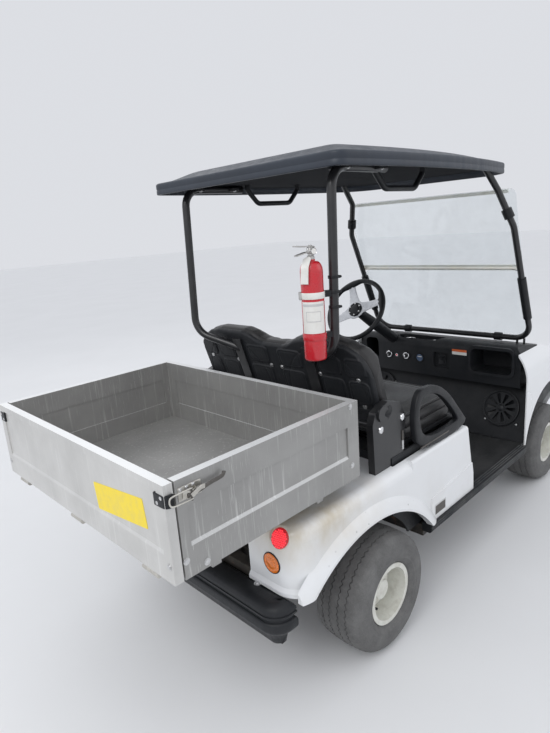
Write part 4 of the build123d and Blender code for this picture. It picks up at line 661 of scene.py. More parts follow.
def slab(name, centre, across, up, size, finish, body="chassis"):
    """A flat plate with round corners and eased edges, standing on a plane by its thickness.

    size holds its width, height, thickness, corner radius and bevel. Rings of one rounded outline
    stand at growing heights, the last drawn in by the bevel, closed to the middle at both ends.
    """
    width, height, thick, corner, bevel = size
    across, up = unit(across), unit(up)
    out = np.cross(across, up)
    full = rounded_rectangle(width, height, corner)
    inner = rounded_rectangle(width - 2 * bevel, height - 2 * bevel, max(corner - bevel, 1e-4))
    rings = [(full * 0, 0), (full, 0), (full, thick - bevel), (inner, thick), (full * 0, thick)]
    points = [centre + ring[:, :1] * across + ring[:, 1:] * up + rise * out for ring, rise in rings]
    return make_piece(name, points, finish, body, 40)


def eased(points, passes=3, closed=False):
    """Round a polyline's corners by cutting each at a quarter of its sides, several times."""
    points = np.asarray(points, float)
    for _ in range(passes):
        after = np.roll(points, -1, axis=0)
        cut = np.stack([points * 0.75 + after * 0.25, points * 0.25 + after * 0.75], 1)
        if closed:
            points = cut.reshape(-1, points.shape[1])
        else:
            points = np.concatenate([points[:1], cut[:-1].reshape(-1, points.shape[1]), points[-1:]])
    return points


def swept(name, path, section, up, finish, closed=False, crease=30, body="chassis"):
    """Carry a closed flat section along a path: a point is the path's, plus the section's two
    sizes along the side and the up direction square to the path there."""
    path = np.asarray(path, float)
    ahead = unit(np.roll(path, -1, 0) - np.roll(path, 1, 0) if closed else np.gradient(path, axis=0))
    side = unit(np.cross(np.broadcast_to(np.asarray(up, float), ahead.shape), ahead))
    rise = np.cross(ahead, side)
    points = path[:, None] + section[:, :1] * side[:, None] + section[:, 1:] * rise[:, None]
    return make_piece(name, points if closed else capped(points), finish, body, crease, loop=closed)


def circle(radius, sides=12):
    """A round section."""
    turn = full_turn(sides)
    return radius * np.stack([np.cos(turn), np.sin(turn)], 1)


def upright_circle(centre, radius, count):
    """Points of a circle that faces along Y."""
    across, up = circle(radius, count).T
    return np.asarray(centre) + np.stack([across, 0 * across, up], 1)


def even(outline, count):
    """Points spaced evenly round a closed outline."""
    outline = np.asarray(outline, float)
    outline = np.concatenate([outline, outline[:1]])
    run = np.concatenate([[0], np.cumsum(np.linalg.norm(np.diff(outline, axis=0), axis=1))])
    at = np.linspace(0, run[-1], count, endpoint=False)
    return np.stack([np.interp(at, run, outline[:, k]) for k in range(2)], 1)


def outward(outline):
    """Unit normals of a closed anticlockwise outline."""
    along = np.roll(outline, -1, 0) - np.roll(outline, 1, 0)
    return unit(np.stack([along[:, 1], -along[:, 0]], 1))


def flat_ring(outline, height):
    """An outline lifted to a height."""
    return np.column_stack([outline, np.broadcast_to(height, len(outline))])


def rounding(distance, radius):
    """0 at a rim, rising along a quarter circle to 1 at a distance of its radius."""
    return np.sqrt(np.clip(1 - (1 - np.clip(distance / radius, 0, 1)) ** 2, 0, 1))


# Tyres and wheels
TREAD_GROOVES = (-0.050, -0.018, 0.018, 0.050)
GROOVE_HALF = 0.0021
GROOVE_DEPTH = 0.0045
ZIGZAGS = 58
ROWS_PER_ZIGZAG = 6
ZIGZAG_SWING = 0.0042
SHOULDER_SHARE = 0.72
SHOULDER_BAND = 0.008
NICK_DEPTH = 0.0012
SIDE_RING = 0.0009
RIM_RING = 0.0014
BEAD_INSET = 0.0046
WELL_DEPTH = 0.012
LIP_RADIUS = 0.0036
VALVE_TURN = math.radians(232)
VALVE_RADIUS = 0.070
WHEELS = ("front_left", "front_right", "rear_left", "rear_right")

# Half section of a low-pressure tyre from the tread's middle outwards, as shares of its half width and
# of its wall's height below the tread, and the bead's two points from the rim's edge
TYRE_WALL = (
    (0, 0), (0.33, 0.012), (0.62, 0.04), (0.78, 0.09), (0.90, 0.22),
    (0.972, 0.37), (1, 0.56), (0.985, 0.72), (0.93, 0.88),
)
TYRE_BEAD = mm((4, 4), (0, 1))


def make_tyre(corner):
    """One tyre: a section carried round the axle. Four tread grooves swing sideways as a zigzag
    of the turn, each a narrow drop in the radius, and fine rings stand on the side walls."""
    node = f"tyre_{corner}"
    low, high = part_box(node)
    centre = (low + high) / 2
    half = (high.y - low.y) / 2
    rim_low, rim_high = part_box(f"rim_{corner}")
    inner = (rim_high.z - rim_low.z) / 2
    bead = (rim_high.y - rim_low.y) / 2 - BEAD_INSET
    outer = TYRE_RADIUS - 0.0002
    wall = np.array(TYRE_WALL) * (half, inner - outer) + (0, outer)
    side = eased(np.concatenate([wall, TYRE_BEAD + (bead, inner)]))

    shoulder = half * SHOULDER_SHARE
    edge = np.array((-1.0, -0.75, 0.75, 1.0)) * GROOVE_HALF
    grooves = [groove + edge for groove in TREAD_GROOVES[2:]]
    tread_y = np.concatenate([[0.0], *grooves, np.linspace(TREAD_GROOVES[3] + SHOULDER_BAND, shoulder, 4)])
    tread_r = np.interp(tread_y, side[:, 0], side[:, 1])
    wall_y, wall_r = side[np.argmax(side[:, 0] > shoulder + 0.002) :].T
    share = (wall_r - inner) / (TYRE_RADIUS - inner)
    rings = SIDE_RING * (np.abs(np.sin(share * math.pi * 7)) > 0.93) + RIM_RING * bell(share, 0.2, 0.05)
    half_y = np.concatenate([tread_y, np.minimum(wall_y + rings, half - 0.0003)])
    half_r = np.concatenate([tread_r, wall_r])
    section_y = np.concatenate([-half_y[:0:-1], half_y])
    section_r = np.concatenate([half_r[:0:-1], half_r])

    turn = full_turn(ZIGZAGS * ROWS_PER_ZIGZAG)[:, None]
    phase = (turn * ZIGZAGS / (2 * math.pi)) % 1.0
    swing = (2 * np.abs(2 * phase - 1) - 1) * ZIGZAG_SWING
    away = np.abs(section_y)
    y = section_y + swing * np.clip((shoulder - away) / SHOULDER_BAND, 0, 1)
    nearest = np.abs(section_y[:, None] - TREAD_GROOVES).min(1)
    drop = GROOVE_DEPTH * (nearest < GROOVE_HALF * 0.8)
    nick = NICK_DEPTH * ((phase < 0.16) & (away > shoulder - 0.003) & (away < half * 0.86))
    inside = np.full((len(turn), 2), inner - WELL_DEPTH)
    r = np.concatenate([section_r - drop - nick, inside], 1)
    y = np.concatenate([y, np.broadcast_to((bead, -bead), inside.shape)], 1)
    points = np.stack([centre.x + r * np.sin(turn), centre.y + y, centre.z + r * np.cos(turn)], -1)
    piece = make_piece(f"dressed_{node}", points, "tyre", f"wheel_{corner}", 38, loop=True)
    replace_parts(piece, node)


VALVE_STEM = mm((0, -12), (8.5, -12), (8.5, 0), (5.5, 6), (4, 20), (4.8, 21), (4.8, 30), (0, 31))


def make_wheel_trim(corner):
    """Round rolled lips on the rim's flanges, and a valve stem."""
    low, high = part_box(f"rim_{corner}")
    centre = np.array((low + high) / 2)
    radius = (high.z - low.z) / 2 - 0.004
    half = (high.y - low.y) / 2 - 0.0035
    way = 1 if "left" in corner else -1
    body = f"wheel_{corner}"
    for name, y in (("outer", way * half), ("inner", -way * half)):
        path = upright_circle(centre + (0, y, 0), radius, 64)
        section = circle(LIP_RADIUS, 10)
        swept(f"rim_lip_{name}_{corner}", path, section, (0, 1, 0), "rim_paint", True, 60, body)
    foot = VALVE_RADIUS * math.cos(VALVE_TURN), way * 0.028, VALVE_RADIUS * math.sin(VALVE_TURN)
    turned(f"valve_stem_{corner}", VALVE_STEM, centre + foot, (0, way, 0), "soft_black", 14, body=body)


# Bench: cushion, back and its moulded shell
BENCH_ROLLS = 2
ROLL_DEPTH = 0.0135
CUSHION_CORNER = 0.05
CUSHION_POINTS = 260
WELT_DROP = 0.022
CROWN_RINGS = 46
SEAM_ALONG = 0.62
SEAMS_ACROSS = (0.13, 0.87)
SEAM_HALF = 0.0035
SEAM_DEPTH = 0.0034
CROWN_RISE = 0.024
SEAT_HOLLOW = 0.012
MIDDLE_DIP = 0.006
FOOT_INSET = 0.012
WELT_INSET, WELT_RISE = 0.0075, 0.0055
WELT_HALF, WELT_HALF_HEIGHT = 0.0052, 0.0048
TOP_INSET = 0.016
TOP_FOOT, TOP_RISE = 0.003, 0.006
LEAN = math.radians(17)
BACK_FOOT = (0.140, 0.760)
BACK_RISE = 0.386
BACK_HALF = 0.474
BACK_KNOTS = (0.0, 0.12, 0.19, 0.27, 0.36, 0.68, 0.80, 0.90, 0.955, 0.985, 1.0)
BACK_RISES = (0.889, 0.889, 0.912, 0.965, 0.996, 0.994, 0.965, 0.905, 0.83, 0.74, 0.64)
SHELL_THICK = 0.015
SHELL_RIM = 0.013
PANEL_CORNER = 0.022
PANEL_RISE, PANEL_EDGE = 0.0048, 0.004
PANEL_GROOVE = 0.0020
RIB_MIDDLE = (0.25, 0.16)
RIB_RADIUS = 0.19
RIB_DEPTH = 0.0016
SHELL_PANELS = ((0.092, 0.130), (0.292, 0.116), (0.412, 0.094))
SHELL_ROWS = ((0.072, 0.096), (0.186, 0.104), (0.292, 0.080))
SHELL_BOLTS = ((-0.415, -0.235, -0.03, 0.03, 0.235, 0.415), (0.128, 0.243))
PAD_GAP = 0.0006
PAD_EDGE = 0.022
PAD_FOOT = 0.0232
PAD_THICK = 0.083
PAD_MIDDLE = 0.24
PAD_ROLL, PAD_ROLL_PITCH = 0.0065, 0.108
PAD_HOLLOW = 0.010
PAD_PARTING = 0.012
PAD_LINE, PAD_LINE_DEPTH = 0.40, 0.0045


def roll_profile(rolls, high, depth):
    """Side wall of stuffed rolls: (inset, height) pairs, each roll a half wave."""
    wave = np.linspace(0, math.pi, 9)
    rise = high / rolls
    inset = depth * (1 - np.sin(wave) ** 0.62)
    height = (1 - np.cos(wave)) / 2 * rise
    return np.concatenate([np.stack([inset, k * rise + height], 1)[min(k, 1) :] for k in range(rolls)])


def seat_top(x, y, half_x, half_y):
    """Height over the cushion's rim: a broad crown, two sat-in hollows and a dip between them, with
    seam lines round each half's middle panel."""
    u, v = x / half_x, np.abs(y / half_y)
    crown = CROWN_RISE * (1 - np.clip(np.abs(u), 0, 1) ** 3.2) * (1 - np.clip(v, 0, 1) ** 6)
    hollow = SEAT_HOLLOW * bell(v, 0.5, 0.24) * bell(u, -0.1, 0.5)
    inner, outer = SEAMS_ACROSS
    level = sum(bell(u * half_x, line * half_x, SEAM_HALF) for line in (-SEAM_ALONG, SEAM_ALONG))
    upright = sum(bell(v * half_y, line * half_y, SEAM_HALF) for line in SEAMS_ACROSS)
    seams = level * ((v > inner) & (v < outer)) + upright * (np.abs(u) < SEAM_ALONG)
    return crown - hollow - MIDDLE_DIP * bell(v, 0, 0.035) - SEAM_DEPTH * seams


def make_cushion():
    """The bench cushion: an outline carried up through two stuffed rolls, a welt and a crowned top."""
    low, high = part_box("seat_cushion")
    half_x, half_y = (high.x - low.x) / 2, (high.y - low.y) / 2
    outline = even(rounded_rectangle(2 * half_x, 2 * half_y, CUSHION_CORNER, 10), CUSHION_POINTS)
    normal = outward(outline)
    rim = high.z - low.z - WELT_DROP
    rings = [flat_ring(outline * 0, 0.0)]
    rings += [flat_ring((outline - normal * FOOT_INSET) * share, 0.0) for share in (0.5, 0.9)]
    for inset, height in roll_profile(BENCH_ROLLS, rim, ROLL_DEPTH):
        rings.append(flat_ring(outline - normal * inset, height))
    for turn in np.linspace(-0.4 * math.pi, math.pi, 8):
        welt = outline - normal * (WELT_INSET - WELT_HALF * math.cos(turn))
        rings.append(flat_ring(welt, rim + WELT_RISE + WELT_HALF_HEIGHT * math.sin(turn)))
    for share in np.linspace(0.99, 0.0, CROWN_RINGS):
        ring = (outline - normal * TOP_INSET) * share
        ease = math.sqrt(1 - share**10)
        lift = seat_top(ring[:, 0], ring[:, 1], half_x, half_y) * ease
        rings.append(flat_ring(ring, rim + TOP_FOOT + TOP_RISE * ease + lift))
    points = np.stack(rings) + ((low.x + high.x) / 2, (low.y + high.y) / 2, low.z)
    piece = make_piece("bench_cushion", points, "black_vinyl", "seat_lid", 70)
    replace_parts(piece, "seat_cushion")


def back_point(y, rise, forward):
    """A room point on the leaning back, forward of its rear plane."""
    x = BACK_FOOT[0] - rise * math.sin(LEAN) + forward * math.cos(LEAN)
    z = BACK_FOOT[1] + rise * math.cos(LEAN) + forward * math.sin(LEAN)
    return np.stack([AXLE_X + x, y + 0 * x, z + 0 * y], -1)


def lens_form(name, half, columns, rows, rear, front, finish, crease):
    """A closed leaning form: columns across, rows up the rear and down the front again, with the
    end columns drawn together. rear and front give depths over (y, rise, distance to the rim). The
    top has two lobes with a dip between, soft at the corners."""
    lean_in = np.sin(np.linspace(-math.pi / 2, math.pi / 2, columns))
    y = half * (0.15 * lean_in + 0.85 * np.linspace(-1, 1, columns))
    top = BACK_RISE * np.interp(np.abs(y) / half, BACK_KNOTS, BACK_RISES)
    rise = np.linspace(0, 1, rows)[:, None] * top
    across = np.broadcast_to(y, rise.shape)
    rim = np.minimum(np.minimum(half - np.abs(across), top - rise), rise)
    depths = [rear(across, rise, rim), front(across, rise, rim)]
    back_side, front_side, middle = (back_point(across, rise, depth) for depth in (*depths, sum(depths) / 2))
    points = np.concatenate([back_side, front_side[::-1]])
    both = np.concatenate([middle, middle[::-1]])
    points = np.concatenate([both[:, :1], points, both[:, -1:]], 1)
    return make_piece(name, points, finish, crease=crease, loop=True, tube=False)


def panel_distance(y, rise, centre, size, corner):
    """Signed distance to a rounded rectangle, negative inside."""
    along = np.abs(y - centre[0]) - size[0] / 2 + corner
    up = np.abs(rise - centre[1]) - size[1] / 2 + corner
    outside = np.hypot(np.maximum(along, 0), np.maximum(up, 0))
    return outside + np.minimum(np.maximum(along, up), 0) - corner


def shell_rear(y, rise, rim):
    """Rear face of the shell: a rolled rim, raised round-cornered panels, each with an inner
    groove, and an arched rib over every column."""
    depth = SHELL_RIM * (1 - rounding(rim, SHELL_RIM))
    for side, _ in SIDES:
        for mid, width in SHELL_PANELS:
            for level, height in SHELL_ROWS:
                gone = panel_distance(y, rise, (side * mid, level), (width, height), PANEL_CORNER)
                depth = depth - PANEL_RISE * np.clip(-gone / PANEL_EDGE, 0, 1)
                depth = depth + PANEL_GROOVE * bell(gone, -0.0105, 0.0022)
        lobe = np.hypot((y - side * RIB_MIDDLE[0]) / RIB_RADIUS, (rise - RIB_MIDDLE[1]) / RIB_RADIUS)
        depth = depth + RIB_DEPTH * bell(lobe * RIB_RADIUS, RIB_RADIUS, 0.003)
    return depth


def shell_front(y, rise, rim):
    """The shell's hidden face, where the pad lies on it."""
    return np.full_like(y, SHELL_THICK)


def pad_rear(y, rise, rim):
    """The pad's hidden face, rounded away at its rim."""
    return SHELL_THICK + PAD_GAP + PAD_EDGE * (1 - rounding(rim, 0.03))


def pad_front(y, rise, rim):
    """The pad's face: stitched rolls on both seats, a groove between them, an edge line and a hollow."""
    out = np.abs(y)
    rolls = PAD_ROLL * (np.abs(np.sin(math.pi * (rise - 0.03) / PAD_ROLL_PITCH)) ** 0.55 - 1)
    hollow = PAD_HOLLOW * bell(out, PAD_MIDDLE, 0.12) * bell(rise, 0.2, 0.13)
    face = PAD_THICK + rolls * bell(out, PAD_MIDDLE, 0.17, 4) - PAD_PARTING * bell(y, 0, 0.02)
    face = face - PAD_LINE_DEPTH * bell(out, PAD_LINE, 0.004) - hollow
    return SHELL_THICK + PAD_FOOT + (face - PAD_FOOT) * rounding(rim, 0.042)


def make_back():
    """The bench back: a moulded shell behind and a padded front with stitched rolls."""
    piece = lens_form("back_shell", BACK_HALF, 330, 134, shell_rear, shell_front, "black_plastic", None)
    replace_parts(piece, "seat_back_shell")
    piece = lens_form("back_cushion", BACK_HALF - 0.003, 190, 74, pad_rear, pad_front, "black_vinyl", 60)
    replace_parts(piece, "seat_back_cushion")
    y, rise = np.meshgrid(*SHELL_BOLTS, indexing="ij")
    places = back_point(y.ravel(), rise.ravel(), 0.0)
    bolt_heads("shell_bolts", places, (-math.cos(LEAN), 0, -math.sin(LEAN)), 0.0065, 0.0045, hexagon=False)


# Matching points of the armrest loop's outer and inner outline, and the line on its outer face
ARM_OUTER = mm((275, 0), (236, 150), (268, 250), (320, 259), (408, 250), (503, 193), (605, 88), (690, 0))
ARM_INNER = mm((318, 44), (273, 150), (296, 219), (322, 226), (402, 217), (480, 168), (588, 57), (566, 44))
ARM_LINE = mm((282, 24.5), (500, 26.5))
ARM_HALF = 0.0140
ARM_SQUARENESS = 0.36


def make_armrests():
    """Moulded loops: matching points of an outer and an inner outline joined by a rounded section,
    with a low rib along the middle of both faces."""
    low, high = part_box("armrests")
    outer, inner = eased(ARM_OUTER, 2, True), eased(ARM_INNER, 2, True)
    wave = circle(1, 32)
    a, b = (np.sign(wave) * np.abs(wave) ** ARM_SQUARENESS).T
    b = b * ARM_HALF + np.sign(b) * 0.0012 * bell(a, 0, 0.22)
    plane = ((outer + inner) / 2)[:, None] + ((outer - inner) / 2)[:, None] * a[:, None]
    grids = []
    for y in (high.y - 0.016, low.y + 0.016):
        across = np.broadcast_to(y + b, plane.shape[:2])
        grids.append(np.stack([AXLE_X + plane[..., 0], across, low.z + plane[..., 1]], -1))
    piece = make_piece("arm_loops", grids, "soft_black", crease=50, loop=True)
    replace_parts(piece, "armrests")
    for side, name in SIDES:
        start, end = (spot(x, side * (high.y - 0.0022), low.z + z) for x, z in ARM_LINE)
        swept(f"arm_line_{name}", np.linspace(start, end, 6), circle(0.0030, 10), UP, "dark_metal", crease=80)


# The side cheeks' trim: cap, bolts and strap ends, with places along and up
CAP_MIDDLE = (0.108, 0.888)
CAP_PROFILE = mm((0, -20), (31, -20), (32.5, 6), (31, 12), (26, 16.5), (12, 19), (0, 19.5))
CHEEK_BOLTS = ((0.209, 0.829), (0.069, 0.822))
BOLT_DOME = mm((0, -4), (14.5, -4), (14.5, 1), (12.5, 5), (7, 7.5), (0, 8.5))
STRAP_X = 0.207
STRAP_PARTS = (("dark_metal", 0.757, 40), ("bolt_steel", 0.719, 36))


def make_cheeks():
    """Round caps, chrome bolts and strap ends on the bench's side cheeks."""
    low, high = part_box("seat_brackets")
    for side, name in SIDES:
        face = (high.y if side > 0 else low.y) - side * 0.008
        middle = spot(CAP_MIDDLE[0], face - side * 0.016, CAP_MIDDLE[1] - 0.006)
        turned(f"cheek_cap_{name}", CAP_PROFILE, middle, (-0.25, side * 0.5, 0.8), "soft_black", 32)
        places = [spot(x, face, z) for x, z in CHEEK_BOLTS]
        turned(f"cheek_bolts_{name}", BOLT_DOME, places, (0, side, 0), "chrome", 24)
        for finish, z, height in STRAP_PARTS:
            middle = spot(STRAP_X, face, z)
            slab(f"strap_{finish}_{name}", middle, (-side, 0, 0), UP, mm(10, height, 4.2, 3, 1), finish)


class MakeBench(bpy.types.Operator):
    """Make the cushions, the moulded back, the armrests and the cheeks' trim"""

    bl_idname = "vehicle.make_bench"
    bl_label = "Bench"

    def execute(self, context):
        make_cushion()
        make_back()
        make_armrests()
        make_cheeks()
        return {"FINISHED"}


# Cargo box: keepers, draw latches, bolts and a blank sticker
SIDE_BOLTS = ((-0.143, 0.977), (-0.143, 0.775), (-0.808, 0.771), (-0.748, 0.739))
BEHIND_GATE = -0.85
GATE_BOLT = (0.521, 0.769)
STICKER_MIDDLE = (-0.299, 0.862)
STICKER_SIZE = mm(267, 82, 0.9, 4, 0.3)
STICKER_TILT = math.radians(7)
KEEPER_THICK = 0.0068
SCREW_DOME = mm((0, -1), (5.2, -1), (5.2, 0.6), (4.2, 2), (2.2, 2.8), (0, 3))


def make_box_bolts():
    """Bolts on the sides and the gate, each landed on the metal behind it."""
    places, axes = [], []
    for side, name in SIDES:
        for x, z in SIDE_BOLTS:
            places.append(landed(f"box_side_{name}", spot(x, side * 0.54, z), (0, -side, 0)))
            axes.append((0, side, 0))
    bolt_heads("box_bolts", places, axes, 0.0068, 0.0042, hexagon=False)
    y, z = GATE_BOLT
    gate = [landed("tailgate", spot(BEHIND_GATE, side * y, z), (1, 0, 0)) for side, _ in SIDES]
    bolt_heads("gate_bolts", gate, BACK, 0.0062, 0.004, hexagon=False, body="cargo_gate")


def make_sticker():
    """The blank yellow sticker, stuck on the gate a little askew."""
    middle = landed("tailgate", spot(BEHIND_GATE, *STICKER_MIDDLE), (1, 0, 0)) - (0.0002, 0, 0)
    across = (0, -math.cos(STICKER_TILT), math.sin(STICKER_TILT))
    up = (0, math.sin(STICKER_TILT), math.cos(STICKER_TILT))
    slab("gate_sticker", middle, across, up, STICKER_SIZE, "yellow_label", "cargo_gate")


def make_keepers():
    """Black keepers bent round the gate's corners: an L-shaped path carries a rounded section."""
    low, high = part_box("gate_keepers")
    middle, half = (low.z + high.z) / 2, (high.z - low.z) / 2
    rear, wide = low.x + 0.0040, high.y - 0.0036
    section = rounded_rectangle(KEEPER_THICK, 2 * half, 0.0024, 5)
    bend = mm((12, 0), (3, -3), (0, -12), (0, -46)) + (rear, wide)
    screws = []
    for side, name in SIDES:
        path = eased([(x, side * y, middle) for x, y in ((high.x, wide), *bend)])
        piece = swept(f"keeper_{name}", path, section, UP, "soft_black", crease=50, body="cargo_gate")
        if side > 0:
            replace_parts(piece, "gate_keepers")
        screws += [(rear - 0.0032, side * (wide + y), middle + z) for y, z in mm((-16, 9), (-34, -8))]
    turned("keeper_screws", SCREW_DOME * (1, 0.5), screws, BACK, "bolt_steel", 14, body="cargo_gate")


# A draw latch's pieces, in metres forward of its rear end, out from the box's wall and up
LATCH_WALL = 0.5373
LATCH_PLATE = mm(68, 36, 2.2, 3, 1)
LATCH_SCREWS = mm((40, 1.8, 12), (58, 1.8, 13), (77, 1.8, 13), (94, 1.8, -11))
LATCH_BASE = mm((45, 3, -3), (51, 9, -3), (60, 14, -3), (70, 14, -3), (78, 9, -3), (82, 3, -3))
LATCH_PIN = mm((62, 15.5, -19), (62, 15.5, 15))
LATCH_LOOP = mm(
    (64, 16.5, -15), (30, 16.8, -15), (4, 16, -14), (-0.5, 14, -7),
    (-0.5, 14, 5), (4, 16, 12), (30, 16.8, 13), (64, 16.5, 13),
)
LATCH_LEVER = mm(
    (50, 14.5, -4), (80, 15.5, -3), (105, 12.5, 0), (130, 10.5, 2),
    (150, 10.5, 3), (163, 11.5, 6), (166, 12.5, 16),
)
LATCH_HOOK = mm((60, 18, -6), (74, 19.5, 1), (90, 18, 6), (102, 14, 2))
LATCH_PARTS = (
    ("base", eased(LATCH_BASE, 2), rounded_rectangle(0.0026, 0.020, 0.001, 3), UP, "zinc", 50),
    ("pin", np.linspace(*LATCH_PIN, 4), circle(0.0026, 10), (1, 0, 0), "dark_metal", 30),
    ("loop", eased(LATCH_LOOP), circle(0.0021, 10), (0, 0.3, 1), "zinc", 30),
    ("lever", eased(LATCH_LEVER), rounded_rectangle(0.0034, 0.0105, 0.0014, 4), UP, "dark_metal", 50),
    ("hook", eased(LATCH_HOOK), rounded_rectangle(0.0028, 0.012, 0.0012, 4), UP, "zinc", 50),
)


def make_latches():
    """Zinc draw latches: a screwed plate, a curled base, a wire loop over the keeper and a lever."""
    low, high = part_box("latches")
    for side, name in SIDES:
        start = np.array((low.x, side * LATCH_WALL, (low.z + high.z) / 2 + 0.004))
        out = (1, side, 1)
        plate = slab(f"latch_plate_{name}", start + (0.067, 0, 0), (-side, 0, 0), UP, LATCH_PLATE, "zinc")
        if side > 0:
            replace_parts(plate, "latches")
        turned(f"latch_screws_{name}", SCREW_DOME, start + LATCH_SCREWS * out, (0, side, 0), "bolt_steel", 14)
        for part, path, section, up, finish, crease in LATCH_PARTS:
            swept(f"latch_{part}_{name}", start + path * out, section, up, finish, crease=crease)


class MakeBox(bpy.types.Operator):
    """Make the cargo box's keepers, latches, bolts and sticker"""

    bl_idname = "vehicle.make_box"
    bl_label = "Cargo box trim"

    def execute(self, context):
        make_box_bolts()
        make_sticker()
        make_keepers()
        make_latches()
        return {"FINISHED"}


# Fire extinguisher
BOTTLE_FACING = math.radians(221)
NECK = 0.014

# The right strut beside it, as a place forward of the axle and across
STRUT = (-0.0285, -0.395)

# Bands bent round the bottle: name, distance off it, thickness, low and high over its foot, half turn, finish
BOTTLE_BANDS = (
    ("label", 0.0001, 0.0007, 0.094, 0.199, 1.12, "white_label"),
    ("label_frame", 0.0007, 0.0006, 0.133, 0.168, 0.66, "grey_label"),
    ("label_patch", 0.0011, 0.0006, 0.1355, 0.1655, 0.60, "white_label"),
    ("label_line", 0.0007, 0.0006, 0.184, 0.192, 1.00, "grey_label"),
)
BRACKETS = (("upper", 0.2075, 0.021, "white_label"), ("lower", 0.070, 0.020, "red_paint"))
TIE_LEVELS = (1.272, 1.322, 1.372)
TIE = mm((16.2, -5), (18.6, -5), (19, -4), (19, 4), (18.6, 5), (16.2, 5))
TIE_KNOT = mm((0, -6), (4.2, -6), (5.2, 0), (4.2, 6), (0, 6))
VALVE = mm(
    (0, -2), (12.5, -2), (12.5, 10), (9.5, 12), (9.5, 18), (12.5, 20),
    (12.5, 34), (10.5, 38), (6, 39), (6, 46), (0, 46),
)
VALVE_LEVERS = (("lower", 0.016, 0.023, 0.070, 0.016), ("upper", 0.046, 0.041, 0.074, 0.018))
DIAL = mm((0, -4), (10.5, -4), (11.5, 2), (10.5, 5), (9.5, 3.8), (0, 3.8))
DIAL_FACE = mm((0, 3.6), (8.8, 3.6), (8.8, 4.4), (0, 4.4))
DIAL_WAY = (-0.35, -1, 0)


def make_bottle():
    """The red bottle as one turned profile, with its labels bent round it: a flat section of
    thickness and height is carried through a turn either side of the facing, its ends drawn together."""
    low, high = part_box("extinguisher")
    middle = np.array(((low.x + high.x) / 2, (low.y + high.y) / 2, 0.0))
    radius = (high.x - low.x) / 2
    foot, top = low.z, high.z
    profile = [
        (0, foot + 0.006), (radius * 0.6, foot + 0.004), (radius * 0.84, foot), (radius * 0.95, foot + 0.001),
        (radius, foot + 0.007), (radius, foot + 0.060), (radius, top - 0.075),
    ]
    for turn in np.linspace(0, math.pi / 2, 12):
        profile.append((NECK + (radius - NECK) * math.cos(turn) ** 0.8, top - 0.040 + 0.034 * math.sin(turn)))
    profile += [(NECK, top), (0, top)]
    piece = turned("bottle", profile, middle, UP, "red_paint", 72, 60)
    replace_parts(piece, "extinguisher")
    for name, off, thick, rise, end, half_turn, finish in BOTTLE_BANDS:
        inner, outer = radius + off, radius + off + thick
        across, up = np.array(((inner, rise), (outer, rise), (outer, end), (inner, end))).T
        turn = BOTTLE_FACING + np.linspace(-half_turn, half_turn, 36)[:, None]
        band = [np.cos(turn) * across, np.sin(turn) * across, np.broadcast_to(foot + up, (36, 4))]
        make_piece(f"bottle_{name}", capped(np.stack(band, -1) + middle), finish, crease=40)
    return middle, radius, foot, top


def landed_tube(z):
    """The middle of the right strut at a height, from the places where lines along X and Y meet it."""
    ways = ((1, 0, 0), (-1, 0, 0), (0, 1, 0), (0, -1, 0))
    behind, ahead, outside, inside = (landed("rear_struts", spot(*STRUT, z), way) for way in ways)
    return np.array(((behind[0] + ahead[0]) / 2, (outside[1] + inside[1]) / 2, z))


def make_tag(middle, radius, top):
    """A white paper tag that hangs from the valve: rows down its length, curved a little across."""
    hang = BOTTLE_FACING - math.radians(24)
    out = np.array((math.cos(hang), math.sin(hang), 0))
    side = np.array((-out[1], out[0], 0))
    s, t = np.meshgrid(np.linspace(0, 1, 14), np.linspace(-1, 1, 7), indexing="ij")
    away = radius * 0.42 + (radius * 0.66 + 0.0032) * np.clip(s * 2.6, 0, 1) ** 0.7 + 0.0015 * t**2
    shift = 0.0135 * np.clip(s * 9 + 0.35, 0, 1) * t - 0.006 * s
    front = middle + out * away[..., None] + side * shift[..., None]
    front[..., 2] = top + 0.010 - 0.086 * s
    behind = front - out * 0.0007
    make_piece("valve_tag", capped(np.concatenate([front, behind[:, ::-1]], 1)), "white_label", crease=50)


